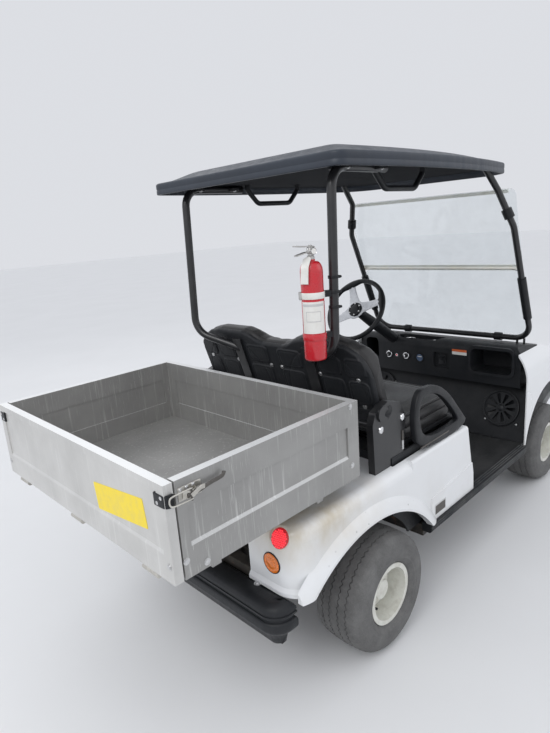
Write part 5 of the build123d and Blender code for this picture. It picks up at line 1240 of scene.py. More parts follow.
def make_fittings(middle, radius, foot, top):
    """Bracket bands with a buckle, blocks to the strut, ties, the valve, its levers and dial, and a tag."""
    strut = spot(*STRUT, 0.0)
    way = unit(strut - middle)
    square = np.array((-way[1], way[0], 0))
    for name, rise, height, finish in BRACKETS:
        low, high = foot + rise, foot + rise + height
        inner, skin, outer = radius + mm(0.2, 2.2, 2.6)
        ring = [(inner, low), (skin, low), (outer, low + 0.001)]
        ring += [(outer, high - 0.001), (skin, high), (inner, high)]
        band = turned(f"bracket_band_{name}", ring, middle, UP, finish, 64, hoop=True)
        block = middle + way * (np.linalg.norm(strut - middle) / 2 + 0.012) + (0, 0, low)
        size = (0.034, 0.020, height, 0.003, 0.001)
        slab(f"bracket_block_{name}", block, way, square, size, "soft_black")
        if name == "upper":
            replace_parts(band, "extinguisher_fittings")
    buckle = BOTTLE_FACING - math.radians(78)
    out = np.array((math.cos(buckle), math.sin(buckle), 0))
    place = middle + out * (radius + 0.002) + (0, 0, foot + 0.218)
    slab("band_buckle", place, (-out[1], out[0], 0), UP, mm(20, 26, 6, 3, 1), "fitting_metal")
    places = np.array([landed_tube(z) for z in TIE_LEVELS])
    turned("strut_ties", TIE, places, UP, "soft_black", 32, hoop=True)
    turned("tie_knots", TIE_KNOT, places + (0.012, -0.016, 0), (1, -0.4, 0), "soft_black", 12)
    crown = middle + (0, 0, top)
    turned("valve_body", VALVE, crown, UP, "fitting_metal", 28)
    for name, tip, root, reach, width in VALVE_LEVERS:
        bends = [(0.013, root - 0.002), (0.0, root), (-0.022, root + 0.001), (-0.048, (root + tip) / 2)]
        path = eased([crown + (x, 0, z) for x, z in (*bends, (-reach, tip))])
        section = rounded_rectangle(0.0042, width, 0.0018, 5)
        swept(f"valve_lever_{name}", path, section, (0, 1, 0), "fitting_metal", crease=50)
    face = crown + (0, -0.0125, 0.026)
    turned("valve_dial", DIAL, face, DIAL_WAY, "bolt_steel", 28)
    turned("valve_dial_face", DIAL_FACE, face, DIAL_WAY, "white_label", 24)
    ring = upright_circle(crown + (-0.016, -0.011, 0.030), 0.009, 28)
    swept("pin_ring", ring, circle(0.0009, 8), (0, 1, 0), "bolt_steel", closed=True)
    make_tag(middle, radius, top)


class MakeExtinguisher(bpy.types.Operator):
    """Make the extinguisher's bottle, labels, bands, valve and tag"""

    bl_idname = "vehicle.make_extinguisher"
    bl_label = "Fire extinguisher"

    def execute(self, context):
        make_fittings(*make_bottle())
        return {"FINISHED"}


# Steering wheel
HUB = spot(0.970, 0.270, 1.071)
COLUMN_TILT = math.radians(31.8)
BENCH_WAY = np.array((-math.cos(COLUMN_TILT), 0, math.sin(COLUMN_TILT)))
WHEEL_LEFT = np.array((0.0, 1.0, 0.0))
WHEEL_TOP = np.array((math.sin(COLUMN_TILT), 0, math.cos(COLUMN_TILT)))
RIM_OUTER = 0.186
RIM_HALF = 0.0128
RIM_SPREAD = 0.0062
FINGER_DENTS = 30
DENT_DEPTH = 0.0007
BLADES = np.radians((62, 158, 326))
BLADE_FOOT, BLADE_TIP = 0.018, 0.158
BLADE_HALF = 0.0140
BLADE_FOOT_SPREAD, BLADE_TIP_SPREAD = 0.0260, 0.0080
BLADE_DISH = 0.0035
BLADE_HALF_THICK = 0.0022
HUB_CAP = mm(
    (0, -33.3), (30, -33.3), (33, -22), (34, -6), (39.5, -4), (41, 2), (39.8, 8),
    (37, 10.5), (30, 11.2), (28.5, 9.6), (26.5, 11.2), (16, 13), (0, 13.6),
)
HUB_PLATE = mm((0, -3), (52, -3), (53.5, -1), (52, 1.2), (0, 2.2))
BLADE_SHOE = mm((0, -7.5), (10, -7.5), (12.8, -4), (12.8, 4), (10, 6.2), (0, 7))


def wheel_point(turn, radius, out):
    """A point of the steering wheel from its turn, its radius and its height towards the bench."""
    turn, radius, out = (values[..., None] for values in np.broadcast_arrays(turn, radius, out))
    return HUB + (np.cos(turn) * WHEEL_LEFT + np.sin(turn) * WHEEL_TOP) * radius + out * BENCH_WAY


def make_rim():
    """The rim: an oval section carried round, deeper towards the hub beside each blade, with
    finger dents behind it."""
    turn = full_turn(300)[:, None]
    gaps = np.abs((turn - BLADES + math.pi) % (2 * math.pi) - math.pi).min(1, keepdims=True)
    near = bell(gaps, 0, 0.30, 4)
    half = RIM_HALF + RIM_SPREAD * near
    dents = DENT_DEPTH * (0.5 + 0.5 * np.cos(turn * FINGER_DENTS)) * (1 - near)
    deep = RIM_HALF + 0.0010 * near - dents
    across, out = circle(1, 22).T
    points = wheel_point(turn, RIM_OUTER - half + half * across, deep * out)
    piece = make_piece("hand_wheel_rim", points, "soft_black", "hand_wheel", 60, loop=True)
    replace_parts(piece, "steering_wheel")


def make_blades():
    """Three bright blades: a flat section whose width narrows from the hub and spreads at the rim."""
    share = np.linspace(0, 1, 26)
    half = BLADE_HALF + BLADE_FOOT_SPREAD * (1 - share) ** 1.5 + BLADE_TIP_SPREAD * share**3
    reach = BLADE_FOOT + (BLADE_TIP - BLADE_FOOT) * share
    dish = BLADE_DISH * np.sin(share * math.pi) - 0.001
    wide, deep = rounded_rectangle(2.0, 2.0, 0.45, 4).T
    grids = []
    for blade in BLADES:
        square = np.cross(BENCH_WAY, math.cos(blade) * WHEEL_LEFT + math.sin(blade) * WHEEL_TOP)
        line = wheel_point(blade, reach, -dish)[:, None]
        width = (half[:, None] * wide)[..., None]
        depth = BENCH_WAY * (BLADE_HALF_THICK * deep)[:, None]
        grids.append(capped(line + square * width + depth))
    piece = make_piece("hand_wheel_blades", grids, "wheel_spokes", "hand_wheel", 50)
    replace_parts(piece, "steering_spokes")
    screws = wheel_point(full_turn(6) + 0.3, 0.0335, 0.0100)
    shoes = wheel_point((BLADES[:, None] + (-0.075, 0.075)).ravel(), 0.157, 0.0)
    for name, profile, places, finish, sides in (
        ("hand_wheel_cap", HUB_CAP, HUB, "soft_black", 48),
        ("hand_wheel_plate", HUB_PLATE, HUB, "wheel_spokes", 60),
        ("hand_wheel_bolts", SCREW_DOME, screws, "bolt_steel", 12),
        ("blade_shoes", BLADE_SHOE, shoes, "soft_black", 20),
    ):
        turned(name, profile, places, BENCH_WAY, finish, sides, body="hand_wheel")


class MakeSteering(bpy.types.Operator):
    """Make the steering wheel's rim, blades and cap"""

    bl_idname = "vehicle.make_steering"
    bl_label = "Steering wheel"

    def execute(self, context):
        make_rim()
        make_blades()
        return {"FINISHED"}


# Lamps: profiles hold shares of the lamp's radius and how far a point stands off the body, in metres
LAMP_BODIES = {
    "tail_lamps": ("rear_body", -1),
    "turn_lamps": ("rear_body", -1),
    "headlamps": ("front_cowl", 1),
}
LAMP_SPACING = 0.0070
LAMP_DROP = 0.08
RED_SHARE = 0.86
RED_STAND = 0.0060
RED_LENS = (
    (0, -0.030), (0.85, -0.030), (RED_SHARE, 0.001), (0.85, 0.0035),
    (0.825, 0.0052), (0.78, 0.0058), (0, RED_STAND),
)
WHITE_RING = ((0.845, -0.012), (1.04, -0.008), (1.04, 0.0004), (1.01, 0.0013), (0.90, 0.0018), (0.85, 0.0010))
AMBER_LENS = (
    (0, -0.030), (0.930, -0.030), (0.930, 0.0015), (0.90, 0.0040), (0.80, 0.0056),
    (0.58, 0.0066), (0.54, 0.0058), (0.50, 0.0068), (0, 0.0074),
)
AMBER_RIM = ((0.925, -0.006), (1, -0.006), (1, 0.002), (0.985, 0.0034), (0.95, 0.0034), (0.925, 0.002))
HEAD_BOWL = (
    (0, -0.034), (0.50, -0.030), (0.80, -0.016), (0.92, -0.006), (0.92, -0.003),
    (0.86, -0.005), (0.70, -0.016), (0.40, -0.024), (0, -0.026),
)
HEAD_GLASS = (
    (0, -0.002), (0.93, -0.002), (0.93, 0.0015), (0.88, 0.0045), (0.70, 0.0080), (0.40, 0.0105), (0, 0.0115)
)
HEAD_RIM = ((0.92, -0.008), (1.05, -0.008), (1.06, 0.002), (1.03, 0.0060), (0.97, 0.0070), (0.92, 0.0030))

# One of the small domes on the red lens, a turned profile like those of the bolts
RED_DOME = mm((0, -0.4), (3.1, -0.4), (2.8, 0.8), (1.7, 1.5), (0, 1.7))


def lamp_plane(node, y, z, radius):
    """The flat that fits a body round a lamp, as x at its middle and the slopes along Y and Z. The
    lamp faces along X by way, 1 forward or -1 to the rear, and its body is met from there."""
    carrier, way = LAMP_BODIES[node]
    low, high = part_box(carrier)
    start = high.x if way > 0 else low.x
    around = (y, z) + radius * 1.08 * circle(1, 24)
    met = [reached(carrier, (start, *point), (-way, 0, 0)) for point in around]
    met = np.array([place for place in met if place is not None and abs(place[0] - start) < LAMP_DROP])
    terms = np.stack([np.ones(len(met)), met[:, 1] - y, met[:, 2] - z], 1)
    return np.linalg.lstsq(terms, met[:, 0], rcond=None)[0]


def lamp_places(node):
    """The radius of a pair of lamps, their height and their places across."""
    low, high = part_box(node)
    radius = (high.z - low.z) / 2
    return radius, (high.z + low.z) / 2, (high.y - radius, radius - high.y)


def lamp_form(name, node, profile, finish, hoop=False):
    """A pair of lamps laid on a body's slope: a point has its Y and Z on the lamp's circle, drawn in
    by the profile's share, and its X is the fitted flat's plus the profile's stand."""
    radius, z, across = lamp_places(node)
    share, stand = np.array(profile).T[..., None]
    off_y, off_z = (share * radius * wave for wave in circle(1, 56).T)
    grids = []
    for y in across:
        base, slope_y, slope_z = lamp_plane(node, y, z, radius)
        x = base + slope_y * off_y + slope_z * off_z + LAMP_BODIES[node][1] * stand
        grids.append(np.stack([x, y + off_y, z + off_z], -1))
    return make_piece(name, grids, finish, crease=40, loop=hoop)


def make_rear_lamps():
    """Red lamps in white rings with a hexagonal field of small domes, and amber lamps with a dark rim."""
    lamp_form("white_rings", "tail_lamps", WHITE_RING, "white_body", True)
    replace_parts(lamp_form("red_lamps", "tail_lamps", RED_LENS, "red_lens"), "tail_lamps")
    radius, z, places = lamp_places("tail_lamps")
    row, column = np.meshgrid(np.arange(-5, 6), np.arange(-5, 6), indexing="ij")
    across = ((column + 0.5 * (row % 2)) * LAMP_SPACING).ravel()
    up = (row * LAMP_SPACING * math.sqrt(3) / 2).ravel()
    keep = np.hypot(across, up) < RED_SHARE * radius - 0.0045
    across, up = across[keep], up[keep]
    for y, (_, name) in zip(places, SIDES):
        base, slope_y, slope_z = lamp_plane("tail_lamps", y, z, radius)
        dots = np.stack([base + slope_y * across + slope_z * up - RED_STAND, y + across, z + up], 1)
        turned(f"lamp_domes_{name}", RED_DOME, dots, (-1, slope_y, slope_z), "bright_red", 10, 80)
    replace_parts(lamp_form("amber_lamps", "turn_lamps", AMBER_LENS, "amber_lens"), "turn_lamps")
    lamp_form("amber_rims", "turn_lamps", AMBER_RIM, "soft_black", True)


def make_headlamps():
    """Headlamps laid on the nose's slope: a bright bowl, domed ribbed glass and a dark bezel."""
    lamp_form("headlamp_bowls", "headlamps", HEAD_BOWL, "chrome")
    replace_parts(lamp_form("headlamp_glass", "headlamps", HEAD_GLASS, "lamp_lens"), "headlamps")
    lamp_form("headlamp_rims", "headlamps", HEAD_RIM, "soft_black", True)


class MakeLamps(bpy.types.Operator):
    """Make the rear lamps and the headlamps"""

    bl_idname = "vehicle.make_lamps"
    bl_label = "Lamps"

    def execute(self, context):
        make_rear_lamps()
        make_headlamps()
        return {"FINISHED"}


# Dashboard, speakers and pedals. Instruments are given by their places across and up.
KICK_SLOPE = math.atan2(0.118, 0.2924)
PANEL_WAY = np.array((-math.cos(KICK_SLOPE), 0, math.sin(KICK_SLOPE)))
PANEL_UP = np.array((math.sin(KICK_SLOPE), 0, math.cos(KICK_SLOPE)))
PANEL_BOLTS = ((0.300, 0.550), (0.310, 0.420), (0.480, 0.420))
BEHIND_DASH = 1.33
KEY_PLACE = (0.295, 0.739)
LIGHT_PLACE = (0.176, 0.742)
PILOT_PLACE = (0.242, 0.738)
METER_PLACE = (0.084, 0.740)
ROCKER = spot(1.3475, -0.054, 0.7405)
KNOB = mm((0, -10), (12.5, -10), (12.5, 10), (11.8, 16.5), (10, 18), (6, 17.6), (0, 17.2))
KNOB_RING = mm((13, 0), (20.5, 0), (20.5, 5), (18.5, 7), (15, 7), (13, 5))
KNOB_BASE = mm((19, -3), (26.5, -3), (26.5, 2), (24.5, 4.5), (19, 4.5))
KNOB_CAP = mm((0, 17), (7, 17), (7, 18.6), (5.5, 19.2), (0, 19.2))
PILOT_LAMP = mm((0, -6), (6.2, -6), (6.2, 1.5), (4.5, 3.5), (0, 4))
PILOT_RING = mm((6, -1), (8.8, -1), (8.2, 2), (6, 2))
METER_CASE = mm(
    (0, -30), (22.5, -30), (22.5, -1), (26.2, -1), (26.2, 4), (24.5, 6.5), (22, 6), (21.2, 3), (0, 3)
)
METER_DIAL = mm((0, 2.8), (21, 2.8), (21, 3.6), (0, 3.6))
CUP_RIM = mm((41.2, -3), (46.2, -0.5), (47, 1.2), (45.5, 3), (42.5, 3), (41.2, 1))
DASH_STICKER = (("upper", 0.8085, 0.0135, "orange_label"), ("lower", 0.7930, 0.0175, "white_label"))
SPEAKER_Y = 0.385
SPEAKER_CONE = mm(
    (0, -40), (55, -40), (92, -9), (92, -1), (86, -1), (32, -28), (27, -22), (16, -14), (0, -11)
)
SPEAKER_RIM = mm(
    (86.5, 10), (88.5, 12.8), (93.5, 14), (98.5, 12.8), (100.4, 10), (100.4, 3), (98.5, 2), (88.5, 8)
)
SPEAKER_HUB = mm((0, 8), (18.5, 8), (18.5, 9.5), (15, 12.5), (8, 14.5), (0, 15))
PEDALS = ((0.190, 0.046, 0.120, 7), (0.300, 0.064, 0.080, 5))


def dash_spot(y, z):
    """The dashboard's face at a place across and up."""
    return landed("dashboard", spot(BEHIND_DASH, y, z), (1, 0, 0))


def make_instruments():
    """Key and light knobs in bright rings, a pilot lamp, a charge meter behind glass and a rocker."""
    places = [dash_spot(*KEY_PLACE), dash_spot(*LIGHT_PLACE)]
    pilot, meter = dash_spot(*PILOT_PLACE), dash_spot(*METER_PLACE)
    piece = turned("dash_knobs", KNOB, places, BACK, "soft_black", 32)
    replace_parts(piece, "instruments")
    turned("dash_knob_rings", KNOB_RING, places, BACK, "chrome", 36, hoop=True)
    turned("dash_knob_bases", KNOB_BASE, places, BACK, "soft_black", 40, hoop=True)
    turned("dash_knob_caps", KNOB_CAP, places[1:], BACK, "chrome", 24)
    slab("key_slot", places[0] - (0.0172, 0, 0), RIGHT, UP, mm(2.2, 10, 2.2, 0.8, 0.4), "chrome")
    turned("pilot_lamp", PILOT_LAMP, pilot, BACK, "red_lens", 18)
    turned("pilot_ring", PILOT_RING, pilot, BACK, "chrome", 24, hoop=True)
    turned("meter_case", METER_CASE, meter, BACK, "soft_black", 44)
    turned("meter_dial", METER_DIAL, meter, BACK, "dial_face", 36)
    slab("meter_strip", meter + (-0.0034, 0, 0.006), RIGHT, UP, mm(26, 4.5, 0.6, 1, 0.2), "white_label")
    slab("rocker_frame", ROCKER, RIGHT, UP, mm(44, 62, 9, 6, 2), "black_plastic")
    s, t = np.meshgrid(np.linspace(-1, 1, 17), np.linspace(-1, 1, 9), indexing="ij")
    hollow = 0.0135 + 0.0035 * np.abs(s) - 0.0012 * t**2
    face = ROCKER + np.stack([-hollow, 0.0135 * t, 0.0225 * s], -1)
    behind = face.copy()
    behind[..., 0] = ROCKER[0] - 0.004
    make_piece("rocker_key", capped(np.concatenate([face, behind[:, ::-1]], 1)), "soft_black", crease=40)


def make_dash_trim():
    """Bright rims round the cups and a blank two-coloured sticker."""
    places = [spot(1.400, y, 0.828) for y in (0.195, 0.015)]
    turned("cup_rims", CUP_RIM, places, UP, "chrome", 48, hoop=True)
    for name, z, height, finish in DASH_STICKER:
        left, right = (dash_spot(y, z) for y in (-0.122, -0.207))
        foot, head = (dash_spot(-0.165, z + side * height / 2) for side in (-1, 1))
        middle = (left + right) / 2 - (0.0002, 0, 0)
        size = (0.086, height, 0.0008, 0.002, 0.0002)
        slab(f"dash_sticker_{name}", middle, right - left, head - foot, size, finish)


def make_speakers():
    """A dark cone and dome behind each grille, a rounded rim on it and bolts beside it."""
    low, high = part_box("speaker_grilles")
    seat = np.array((low.x + high.x, 0, low.z + high.z)) / 2 - PANEL_WAY * 0.006
    places = [seat + (0, side * SPEAKER_Y, 0) for side, _ in SIDES]
    turned("speaker_cones", SPEAKER_CONE, places, PANEL_WAY, "soft_black", 48)
    turned("speaker_rims", SPEAKER_RIM, places, PANEL_WAY, "soft_black", 64, hoop=True)
    turned("speaker_hubs", SPEAKER_HUB, places, PANEL_WAY, "soft_black", 36)
    bolts = [spot(1.38, side * y, z) for side, _ in SIDES for y, z in PANEL_BOLTS]
    bolts = [landed("kick_panel", bolt, -PANEL_WAY) for bolt in bolts]
    turned("panel_bolts", SCREW_DOME * 1.25, bolts, PANEL_WAY, "bolt_steel", 16)


def make_pedal_ribs():
    """Raised ribs across both pedals' faces."""
    ribs = []
    for y, width, height, count in PEDALS:
        for level in np.linspace(-0.36, 0.36, count):
            point = spot(1.30, y, 0.450) + PANEL_UP * height * level
            ribs.append((landed("pedals", point, -PANEL_WAY) - PANEL_WAY * 0.0005, width))
    for index, (place, width) in enumerate(ribs):
        size = (width, 0.0055, 0.0032, 0.0025, 0.0012)
        slab(f"pedal_rib_{index}", place, RIGHT, PANEL_UP, size, "soft_black")


class MakeCabin(bpy.types.Operator):
    """Make the instruments, the dashboard's trim, the speakers and the pedals' ribs"""

    bl_idname = "vehicle.make_cabin"
    bl_label = "Cabin"

    def execute(self, context):
        make_instruments()
        make_dash_trim()
        make_speakers()
        make_pedal_ribs()
        return {"FINISHED"}


# Roof, rear bumper and plates. Profiles hold how far a point is drawn in and how high it stands.
ROOF_WALL = mm((3, 0), (0.8, 1.2), (0, 4), (0, 16), (1.2, 18), (1.2, 21), (0, 23), (0, 36))
ROOF_UNDER = mm((300, 28), (160, 28), (50, 28), (22, 27), (16, 22), (14, 12), (12.5, 1), (10, 0))
ROOF_EDGE, ROOF_EDGE_FOOT = 0.009, 0.037
SLOPE_INSET, SLOPE_REACH = 0.014, 0.140
SLOPE_FOOT, SLOPE_RISE = 0.0465, 0.0385
ROOF_TOP_INSET, ROOF_TOP_FOOT = 0.165, 0.0855
ROOF_CAMBER = 0.0028
ROOF_GROOVES = (-0.36, -0.12, 0.12, 0.36)
ROOF_GROOVE_DEPTH = 0.0022
# Reach and heights of the near-black sheet under the ceiling, which is painted shade
SHADE_SHEET_REACH = (0.30, 0.16, 0.026)
SHADE_SHEET_HEIGHTS = (0.0272, 0.0279)
BUMPER_CORNER = 0.070
BUMPER_PROFILE = mm(
    (40, 0), (37, 4), (33, 20), (27, 38), (17, 50), (6, 60), (1.2, 67), (0, 74), (0, 88), (0.6, 94),
    (3, 98.5), (8.5, 100), (8.5, 110.5), (4, 112.5), (1.5, 116), (1.2, 122), (4.5, 123.5), (4.5, 128),
    (1.6, 129.5), (2.5, 138), (8, 147), (17, 154), (28, 158), (36, 159),
)
SILL_RIB_INSETS = (0.010, 0.022, 0.034)
SILL_RIB_DROPS = (0.008, 0.018, 0.028)
PAD_SIZE = mm(74, 42, 12, 6, 1)


def cross(start, middle, end):
    """Positive where three points turn left."""
    return (middle[0] - start[0]) * (end[1] - start[1]) - (middle[1] - start[1]) * (end[0] - start[0])


def convex_outline(node, count):
    """A node's outline seen from above, as evenly spaced points round its convex hull."""
    turn = NODES[node].matrix_world
    plan = sorted({(round(p.x, 5), round(p.y, 5)) for p in (turn @ v.co for v in NODES[node].data.vertices)})
    hull = []
    for points in (plan, plan[::-1]):
        side = []
        for point in points:
            while len(side) > 1 and cross(side[-2], side[-1], point) <= 0:
                side.pop()
            side.append(point)
        hull += side[:-1]
    return even(hull, count)


def make_roof():
    """The canopy: the roof's outline carried up an upright rim, over a rounded edge and a flat
    ledge and up a soft slope to a shallow panelled crown, and back under to the ceiling. A thin
    near-black sheet under the ceiling is painted shade."""
    low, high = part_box("roof_canopy")
    outline = convex_outline("roof_canopy", 360)
    middle = np.array(((low.x + high.x) / 2, (low.y + high.y) / 2))
    half = np.array((high.x - low.x, high.y - low.y)) / 2
    inmost = half[1] - 0.0005

    def ring(drawn_in, height):
        """The outline drawn in at its sides and ends, at a height over the roof's foot."""
        return flat_ring(middle + (outline - middle) * (1 - drawn_in / half), low.z + height)

    rings = [ring(*pair) for pair in ROOF_WALL]
    for turn in np.linspace(0, math.pi / 2, 6):
        drawn_in = ROOF_EDGE * (1 - math.cos(turn))
        rings.append(ring(drawn_in, ROOF_EDGE_FOOT + ROOF_EDGE * math.sin(turn)))
    for share in np.linspace(0, 1, 16):
        soft = share * share * (3 - 2 * share)
        rings.append(ring(SLOPE_INSET + SLOPE_REACH * share, SLOPE_FOOT + SLOPE_RISE * soft))
    for drawn_in in np.linspace(ROOF_TOP_INSET, inmost, 40):
        crown = ring(drawn_in, ROOF_TOP_FOOT)
        u, v = ((crown[:, :2] - middle) / half).T
        grooves = sum(bell(v, line, 0.028) for line in ROOF_GROOVES)
        fade = np.clip((0.70 - np.abs(u)) / 0.05, 0, 1)
        camber = ROOF_CAMBER * (1 - np.minimum(np.abs(v) / 0.7, 1) ** 2)
        crown[:, 2] += camber - ROOF_GROOVE_DEPTH * grooves * fade
        rings.append(crown)
    rings += [ring(*pair) for pair in ((inmost, 0.028), *ROOF_UNDER)]
    points = np.stack(rings)
    points[..., 2] = np.minimum(points[..., 2], high.z)
    piece = make_piece("canopy", points, "grey_plastic", crease=55, loop=True)
    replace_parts(piece, "roof_canopy")
    # A near-black sheet just under the ceiling: painted shade on the roof's underside
    reach, (under, over) = (inmost, *SHADE_SHEET_REACH), SHADE_SHEET_HEIGHTS
    sheet = [ring(drawn_in, over) for drawn_in in reach] + [ring(drawn_in, under) for drawn_in in reach[::-1]]
    make_piece("painted_shade_sheet", sheet, "ceiling_liner", crease=30, loop=True)


def bumper_plan(low, high, inset):
    """The bumper's outline drawn in by an inset: a straight front, and a rear with round corners."""
    front, rear = high.x - inset, low.x + inset
    half = (high.y - low.y) / 2 - inset
    corner = BUMPER_CORNER - inset
    turn = np.linspace(0, math.pi / 2, 17)
    arc = np.stack([rear + corner - corner * np.sin(turn), half - corner + corner * np.cos(turn)], 1)
    mirrored = arc[::-1] * (1, -1)
    start, end = (front, -half), (front, half)
    bends = np.array([start, end, arc[0], arc[-1], mirrored[0], mirrored[-1], start])
    share = np.linspace(0, 1, 30, endpoint=False)[:, None]
    sides = [start + share * (end - start) for start, end in zip(bends, bends[1:])]
    return np.concatenate([sides[0], sides[1], arc[:-1], sides[3], mirrored[:-1], sides[5]])


def make_bumper():
    """The rear bumper: a plan with round corners carried up a profile of insets, with a tucked foot,
    two long grooves and an eased top."""
    low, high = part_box("rear_bumper")
    reach = (high.y - low.y) / 2 - BUMPER_CORNER
    rings = [flat_ring(bumper_plan(low, high, inset), rise) for inset, rise in BUMPER_PROFILE]
    spine = rings[0].copy()
    spine[:, 0] = (low.x + high.x) / 2
    spine[:, 1] = np.clip(spine[:, 1], -reach, reach)
    points = np.stack([spine, *rings, spine + (0, 0, BUMPER_PROFILE[-1, 1])]) + (0, 0, low.z)
    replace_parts(make_piece("rear_bar", points, "bumper_plastic", crease=50), "rear_bumper")
    places = [spot(-0.452, side * 0.372, high.z - 0.0004) for side, _ in SIDES]
    bolt_heads("bumper_bolts", places, UP, 0.0085, 0.006)


def make_plates():
    """Blank dark plates in the recesses of the side panels."""
    for side, name in SIDES:
        place = landed("rear_body", spot(0.409, side * 0.56, 0.3865), (0, -side, 0))
        across = (-side, 0, 0)
        slab(f"side_plate_{name}", place, across, UP, mm(84, 43, 2, 4, 0.6), "grey_label")
        place = place + (0, side * 0.0018, 0)
        slab(f"side_plate_face_{name}", place, across, UP, mm(77, 36, 0.9, 3, 0.3), "dark_metal")


def make_sill_ribs():
    """Half-round ribs along the sills' tops and outer faces, light grey for dust and as a painted highlight.
    """
    low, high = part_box("sills")
    x = np.linspace(low.x + 0.004, high.x - 0.004, 12)
    lines = [(high.y - inset, high.z) for inset in SILL_RIB_INSETS]
    lines += [(high.y, high.z - drop) for drop in SILL_RIB_DROPS]
    for side, name in SIDES:
        for index, (y, z) in enumerate(lines):
            path = np.stack([x, np.full(12, side * (y - 0.0006)), np.full(12, z - 0.0006)], 1)
            swept(f"sill_rib_{name}_{index}", path, circle(0.0024, 8), UP, "dusty_rib", crease=80)


def make_roof_pads():
    """Plates with bolts under the ceiling where the rear struts meet it."""
    _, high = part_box("rear_struts")
    places = []
    for side, name in SIDES:
        for index, x in enumerate((0.045, 0.235)):
            middle = spot(x, side * 0.389, high.z - 0.012)
            slab(f"roof_pad_{name}_{index}", middle, (0, 1, 0), (1, 0, 0), PAD_SIZE, "tube_paint")
            places += [middle + (0, shift, -0.0110) for shift in (-0.029, 0.029)]
    bolt_heads("roof_pad_bolts", places, (0, 0, -1), 0.006, 0.0045)


class MakeShell(bpy.types.Operator):
    """Make the roof canopy, the rear bumper, the side plates, the sills' ribs and the roof's pads"""

    bl_idname = "vehicle.make_shell"
    bl_label = "Roof and bumper"

    def execute(self, context):
        make_roof()
        make_bumper()
        make_plates()
        make_sill_ribs()
        make_roof_pads()
        return {"FINISHED"}


# Stage
FLOOR_HALF = 40.0
FLOOR_ROWS = 41
SKY_COLOUR = (0.93, 0.95, 1.0, 1)
SEEN_SKY_SHARE = 0.84
LAMP_AIM = Vector((0, 0, 0.6))


def make_stage():
    """A wide pale floor, three soft lamps, an even sky and the camera."""
    scene = bpy.context.scene
    scene.view_settings.view_transform = "Standard"
    settings = dressing()
    finish = Finish("floor_paint", Roughness=0.75, Specular_IOR_Level=0.25)
    shade = finish.cloud((1.2, 4), 0.3, 0.7)
    tone = settings.floor_colour
    finish.paint(shade, rgb(tone, 0.97), rgb(tone))
    reach = np.linspace(-FLOOR_HALF, FLOOR_HALF, FLOOR_ROWS)
    x, y = np.meshgrid(reach, reach, indexing="ij")
    points = np.stack([x, y, np.zeros_like(x)], -1)
    mesh = bpy.data.meshes.new("studio_floor")
    mesh.from_pydata(points.reshape(-1, 3).tolist(), [], grid_quads(FLOOR_ROWS, FLOOR_ROWS).tolist())
    if mesh.polygons[0].normal.z < 0:
        mesh.flip_normals()
    mesh.materials.append(finish.material)
    floor = bpy.data.objects.new("studio_floor", mesh)
    scene.collection.objects.link(floor)

    world = bpy.data.worlds.new("studio_sky")
    world.use_nodes = True
    scene.world = world
    tree = world.node_tree
    background = tree.nodes["Background"]
    rays = tree.nodes.new("ShaderNodeLightPath")
    seen = tree.nodes.new("ShaderNodeMath")
    seen.operation = "MAXIMUM"
    tree.links.new(rays.outputs["Is Camera Ray"], seen.inputs[0])
    tree.links.new(rays.outputs["Is Transmission Ray"], seen.inputs[1])
    strength = tree.nodes.new("ShaderNodeMapRange")
    strength.inputs["To Min"].default_value = settings.sky_strength
    strength.inputs["To Max"].default_value = settings.sky_strength * SEEN_SKY_SHARE
    tree.links.new(seen.outputs[0], strength.inputs["Value"])
    tree.links.new(strength.outputs["Result"], background.inputs["Strength"])
    background.inputs["Color"].default_value = SKY_COLOUR

    for name, place, size, power in (
        ("key_lamp", (-4.4, -1.2, 4.4), 3.0, settings.key_power),
        ("fill_lamp", (2.6, -4.2, 3.4), 4.2, settings.fill_power),
        ("back_lamp", (0.6, 4.6, 4.2), 4.0, settings.fill_power * 0.8),
    ):
        light = bpy.data.lights.new(name, "AREA")
        light.shape = "DISK"
        light.size = size
        light.energy = power
        lamp = bpy.data.objects.new(name, light)
        lamp.location = place
        lamp.rotation_euler = (LAMP_AIM - Vector(place)).to_track_quat("-Z", "Y").to_euler()
        scene.collection.objects.link(lamp)

    camera_data = bpy.data.cameras.new("photo_camera")
    camera_data.sensor_fit = "VERTICAL"
    camera_data.sensor_height = 36.0
    camera_data.lens = settings.camera_lens
    camera_data.clip_end = 100
    camera = bpy.data.objects.new("photo_camera", camera_data)
    yaw, pitch, roll = settings.camera_yaw, settings.camera_pitch, settings.camera_roll
    ahead = Vector((math.cos(pitch) * math.cos(yaw), math.cos(pitch) * math.sin(yaw), math.sin(pitch)))
    right = Vector((math.sin(yaw), -math.cos(yaw), 0))
    above = right.cross(ahead)
    rolled_right = right * math.cos(roll) + above * math.sin(roll)
    rolled_above = above * math.cos(roll) - right * math.sin(roll)
    matrix = camera.matrix_world.copy()
    for row in range(3):
        matrix[row][0] = rolled_right[row]
        matrix[row][1] = rolled_above[row]
        matrix[row][2] = -ahead[row]
        matrix[row][3] = settings.camera_place[row]
    camera.matrix_world = matrix
    scene.collection.objects.link(camera)
    scene.camera = camera


def colour_property(name, default):
    """A colour that a user can change."""
    note = f"{name} in linear light"
    return bpy.props.FloatVectorProperty(
        name=name, description=note, subtype="COLOR", size=3, min=0, max=1, default=default
    )


def angle_property(name, note, default):
    """An angle that a user can change."""
    return bpy.props.FloatProperty(name=name, description=note, unit="ROTATION", default=default)


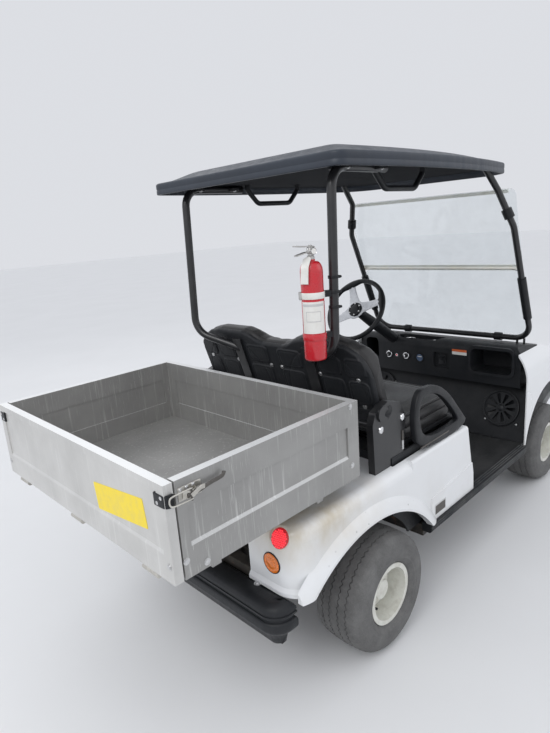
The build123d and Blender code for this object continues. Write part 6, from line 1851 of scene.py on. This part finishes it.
class VehicleDressing(bpy.types.PropertyGroup):
    """Sizes and colours of the dressed vehicle and its stage."""

    body_colour: colour_property("Body colour", (0.77, 0.78, 0.79))
    roof_colour: colour_property("Roof colour", (0.028, 0.034, 0.045))
    plastic_colour: colour_property("Black plastic colour", (0.0098, 0.0112, 0.0138))
    box_colour: colour_property("Box metal colour", (0.50, 0.495, 0.48))
    tyre_colour: colour_property("Tyre colour", (0.128, 0.127, 0.125))
    rim_colour: colour_property("Wheel paint colour", (0.71, 0.71, 0.65))
    floor_colour: colour_property("Floor colour", (0.78, 0.785, 0.79))
    sky_strength: bpy.props.FloatProperty(
        name="Sky strength", description="Light from all round", default=0.92, min=0, max=3
    )
    key_power: bpy.props.FloatProperty(
        name="Key lamp", description="Power in watts", unit="POWER", default=90, min=0
    )
    fill_power: bpy.props.FloatProperty(
        name="Fill lamps", description="Power in watts", unit="POWER", default=25, min=0
    )
    camera_place: bpy.props.FloatVectorProperty(
        name="Camera place", description="Where the camera stands", subtype="TRANSLATION", size=3,
        unit="LENGTH", default=(-2.0465, -1.5494, 1.5437)
    )
    camera_yaw: angle_property("Camera yaw", "Turn about the upright", 0.8035)
    camera_pitch: angle_property("Camera pitch", "Tilt down", -0.2509)
    camera_roll: angle_property("Camera roll", "Turn about the view", -0.0735)
    camera_lens: bpy.props.FloatProperty(
        name="Camera lens", description="Focal length in millimetres", unit="CAMERA", default=26.54
    )


class DressFrame(bpy.types.Operator):
    """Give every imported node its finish"""

    bl_idname = "vehicle.dress_frame"
    bl_label = "Finish the frame"

    def execute(self, context):
        for name, node in NODES.items():
            material = finishes()[OWN_FINISH.get(name, NODE_SLOTS[name])]
            node.data.materials.clear()
            node.data.materials.append(material)
        return {"FINISHED"}


class MakeWheels(bpy.types.Operator):
    """Make the tyres with their tread, and the rims' lips and valves"""

    bl_idname = "vehicle.make_wheels"
    bl_label = "Tyres and rims"

    def execute(self, context):
        for corner in WHEELS:
            make_tyre(corner)
            make_wheel_trim(corner)
        return {"FINISHED"}


class MakeStage(bpy.types.Operator):
    """Make the floor, the lamps, the sky and the camera"""

    bl_idname = "vehicle.make_stage"
    bl_label = "Stage"

    def execute(self, context):
        make_stage()
        return {"FINISHED"}


STEPS = (
    DressFrame,
    MakeWheels,
    MakeBench,
    MakeBox,
    MakeExtinguisher,
    MakeSteering,
    MakeLamps,
    MakeCabin,
    MakeShell,
    MakeStage,
)


class VehiclePanel(bpy.types.Panel):
    """The vehicle's steps in the sidebar"""

    bl_idname = "VIEW3D_PT_vehicle"
    bl_label = "Utility vehicle"
    bl_space_type = "VIEW_3D"
    bl_region_type = "UI"
    bl_category = "Vehicle"

    def draw(self, context):
        for step in STEPS:
            self.layout.operator(step.bl_idname)
        for name in VehicleDressing.__annotations__:
            self.layout.prop(context.scene.vehicle_dressing, name)


CLASSES = (VehicleDressing, *STEPS, VehiclePanel)


def register():
    for entry in CLASSES:
        bpy.utils.register_class(entry)
    bpy.types.Scene.vehicle_dressing = bpy.props.PointerProperty(type=VehicleDressing)


def unregister():
    del bpy.types.Scene.vehicle_dressing
    for entry in reversed(CLASSES):
        bpy.utils.unregister_class(entry)


def main():
    """Run every step in order."""
    register()
    for step in STEPS:
        group, name = step.bl_idname.split(".")
        getattr(getattr(bpy.ops, group), name)()
    bpy.context.view_layer.update()


if __name__ == "__main__":
    main()
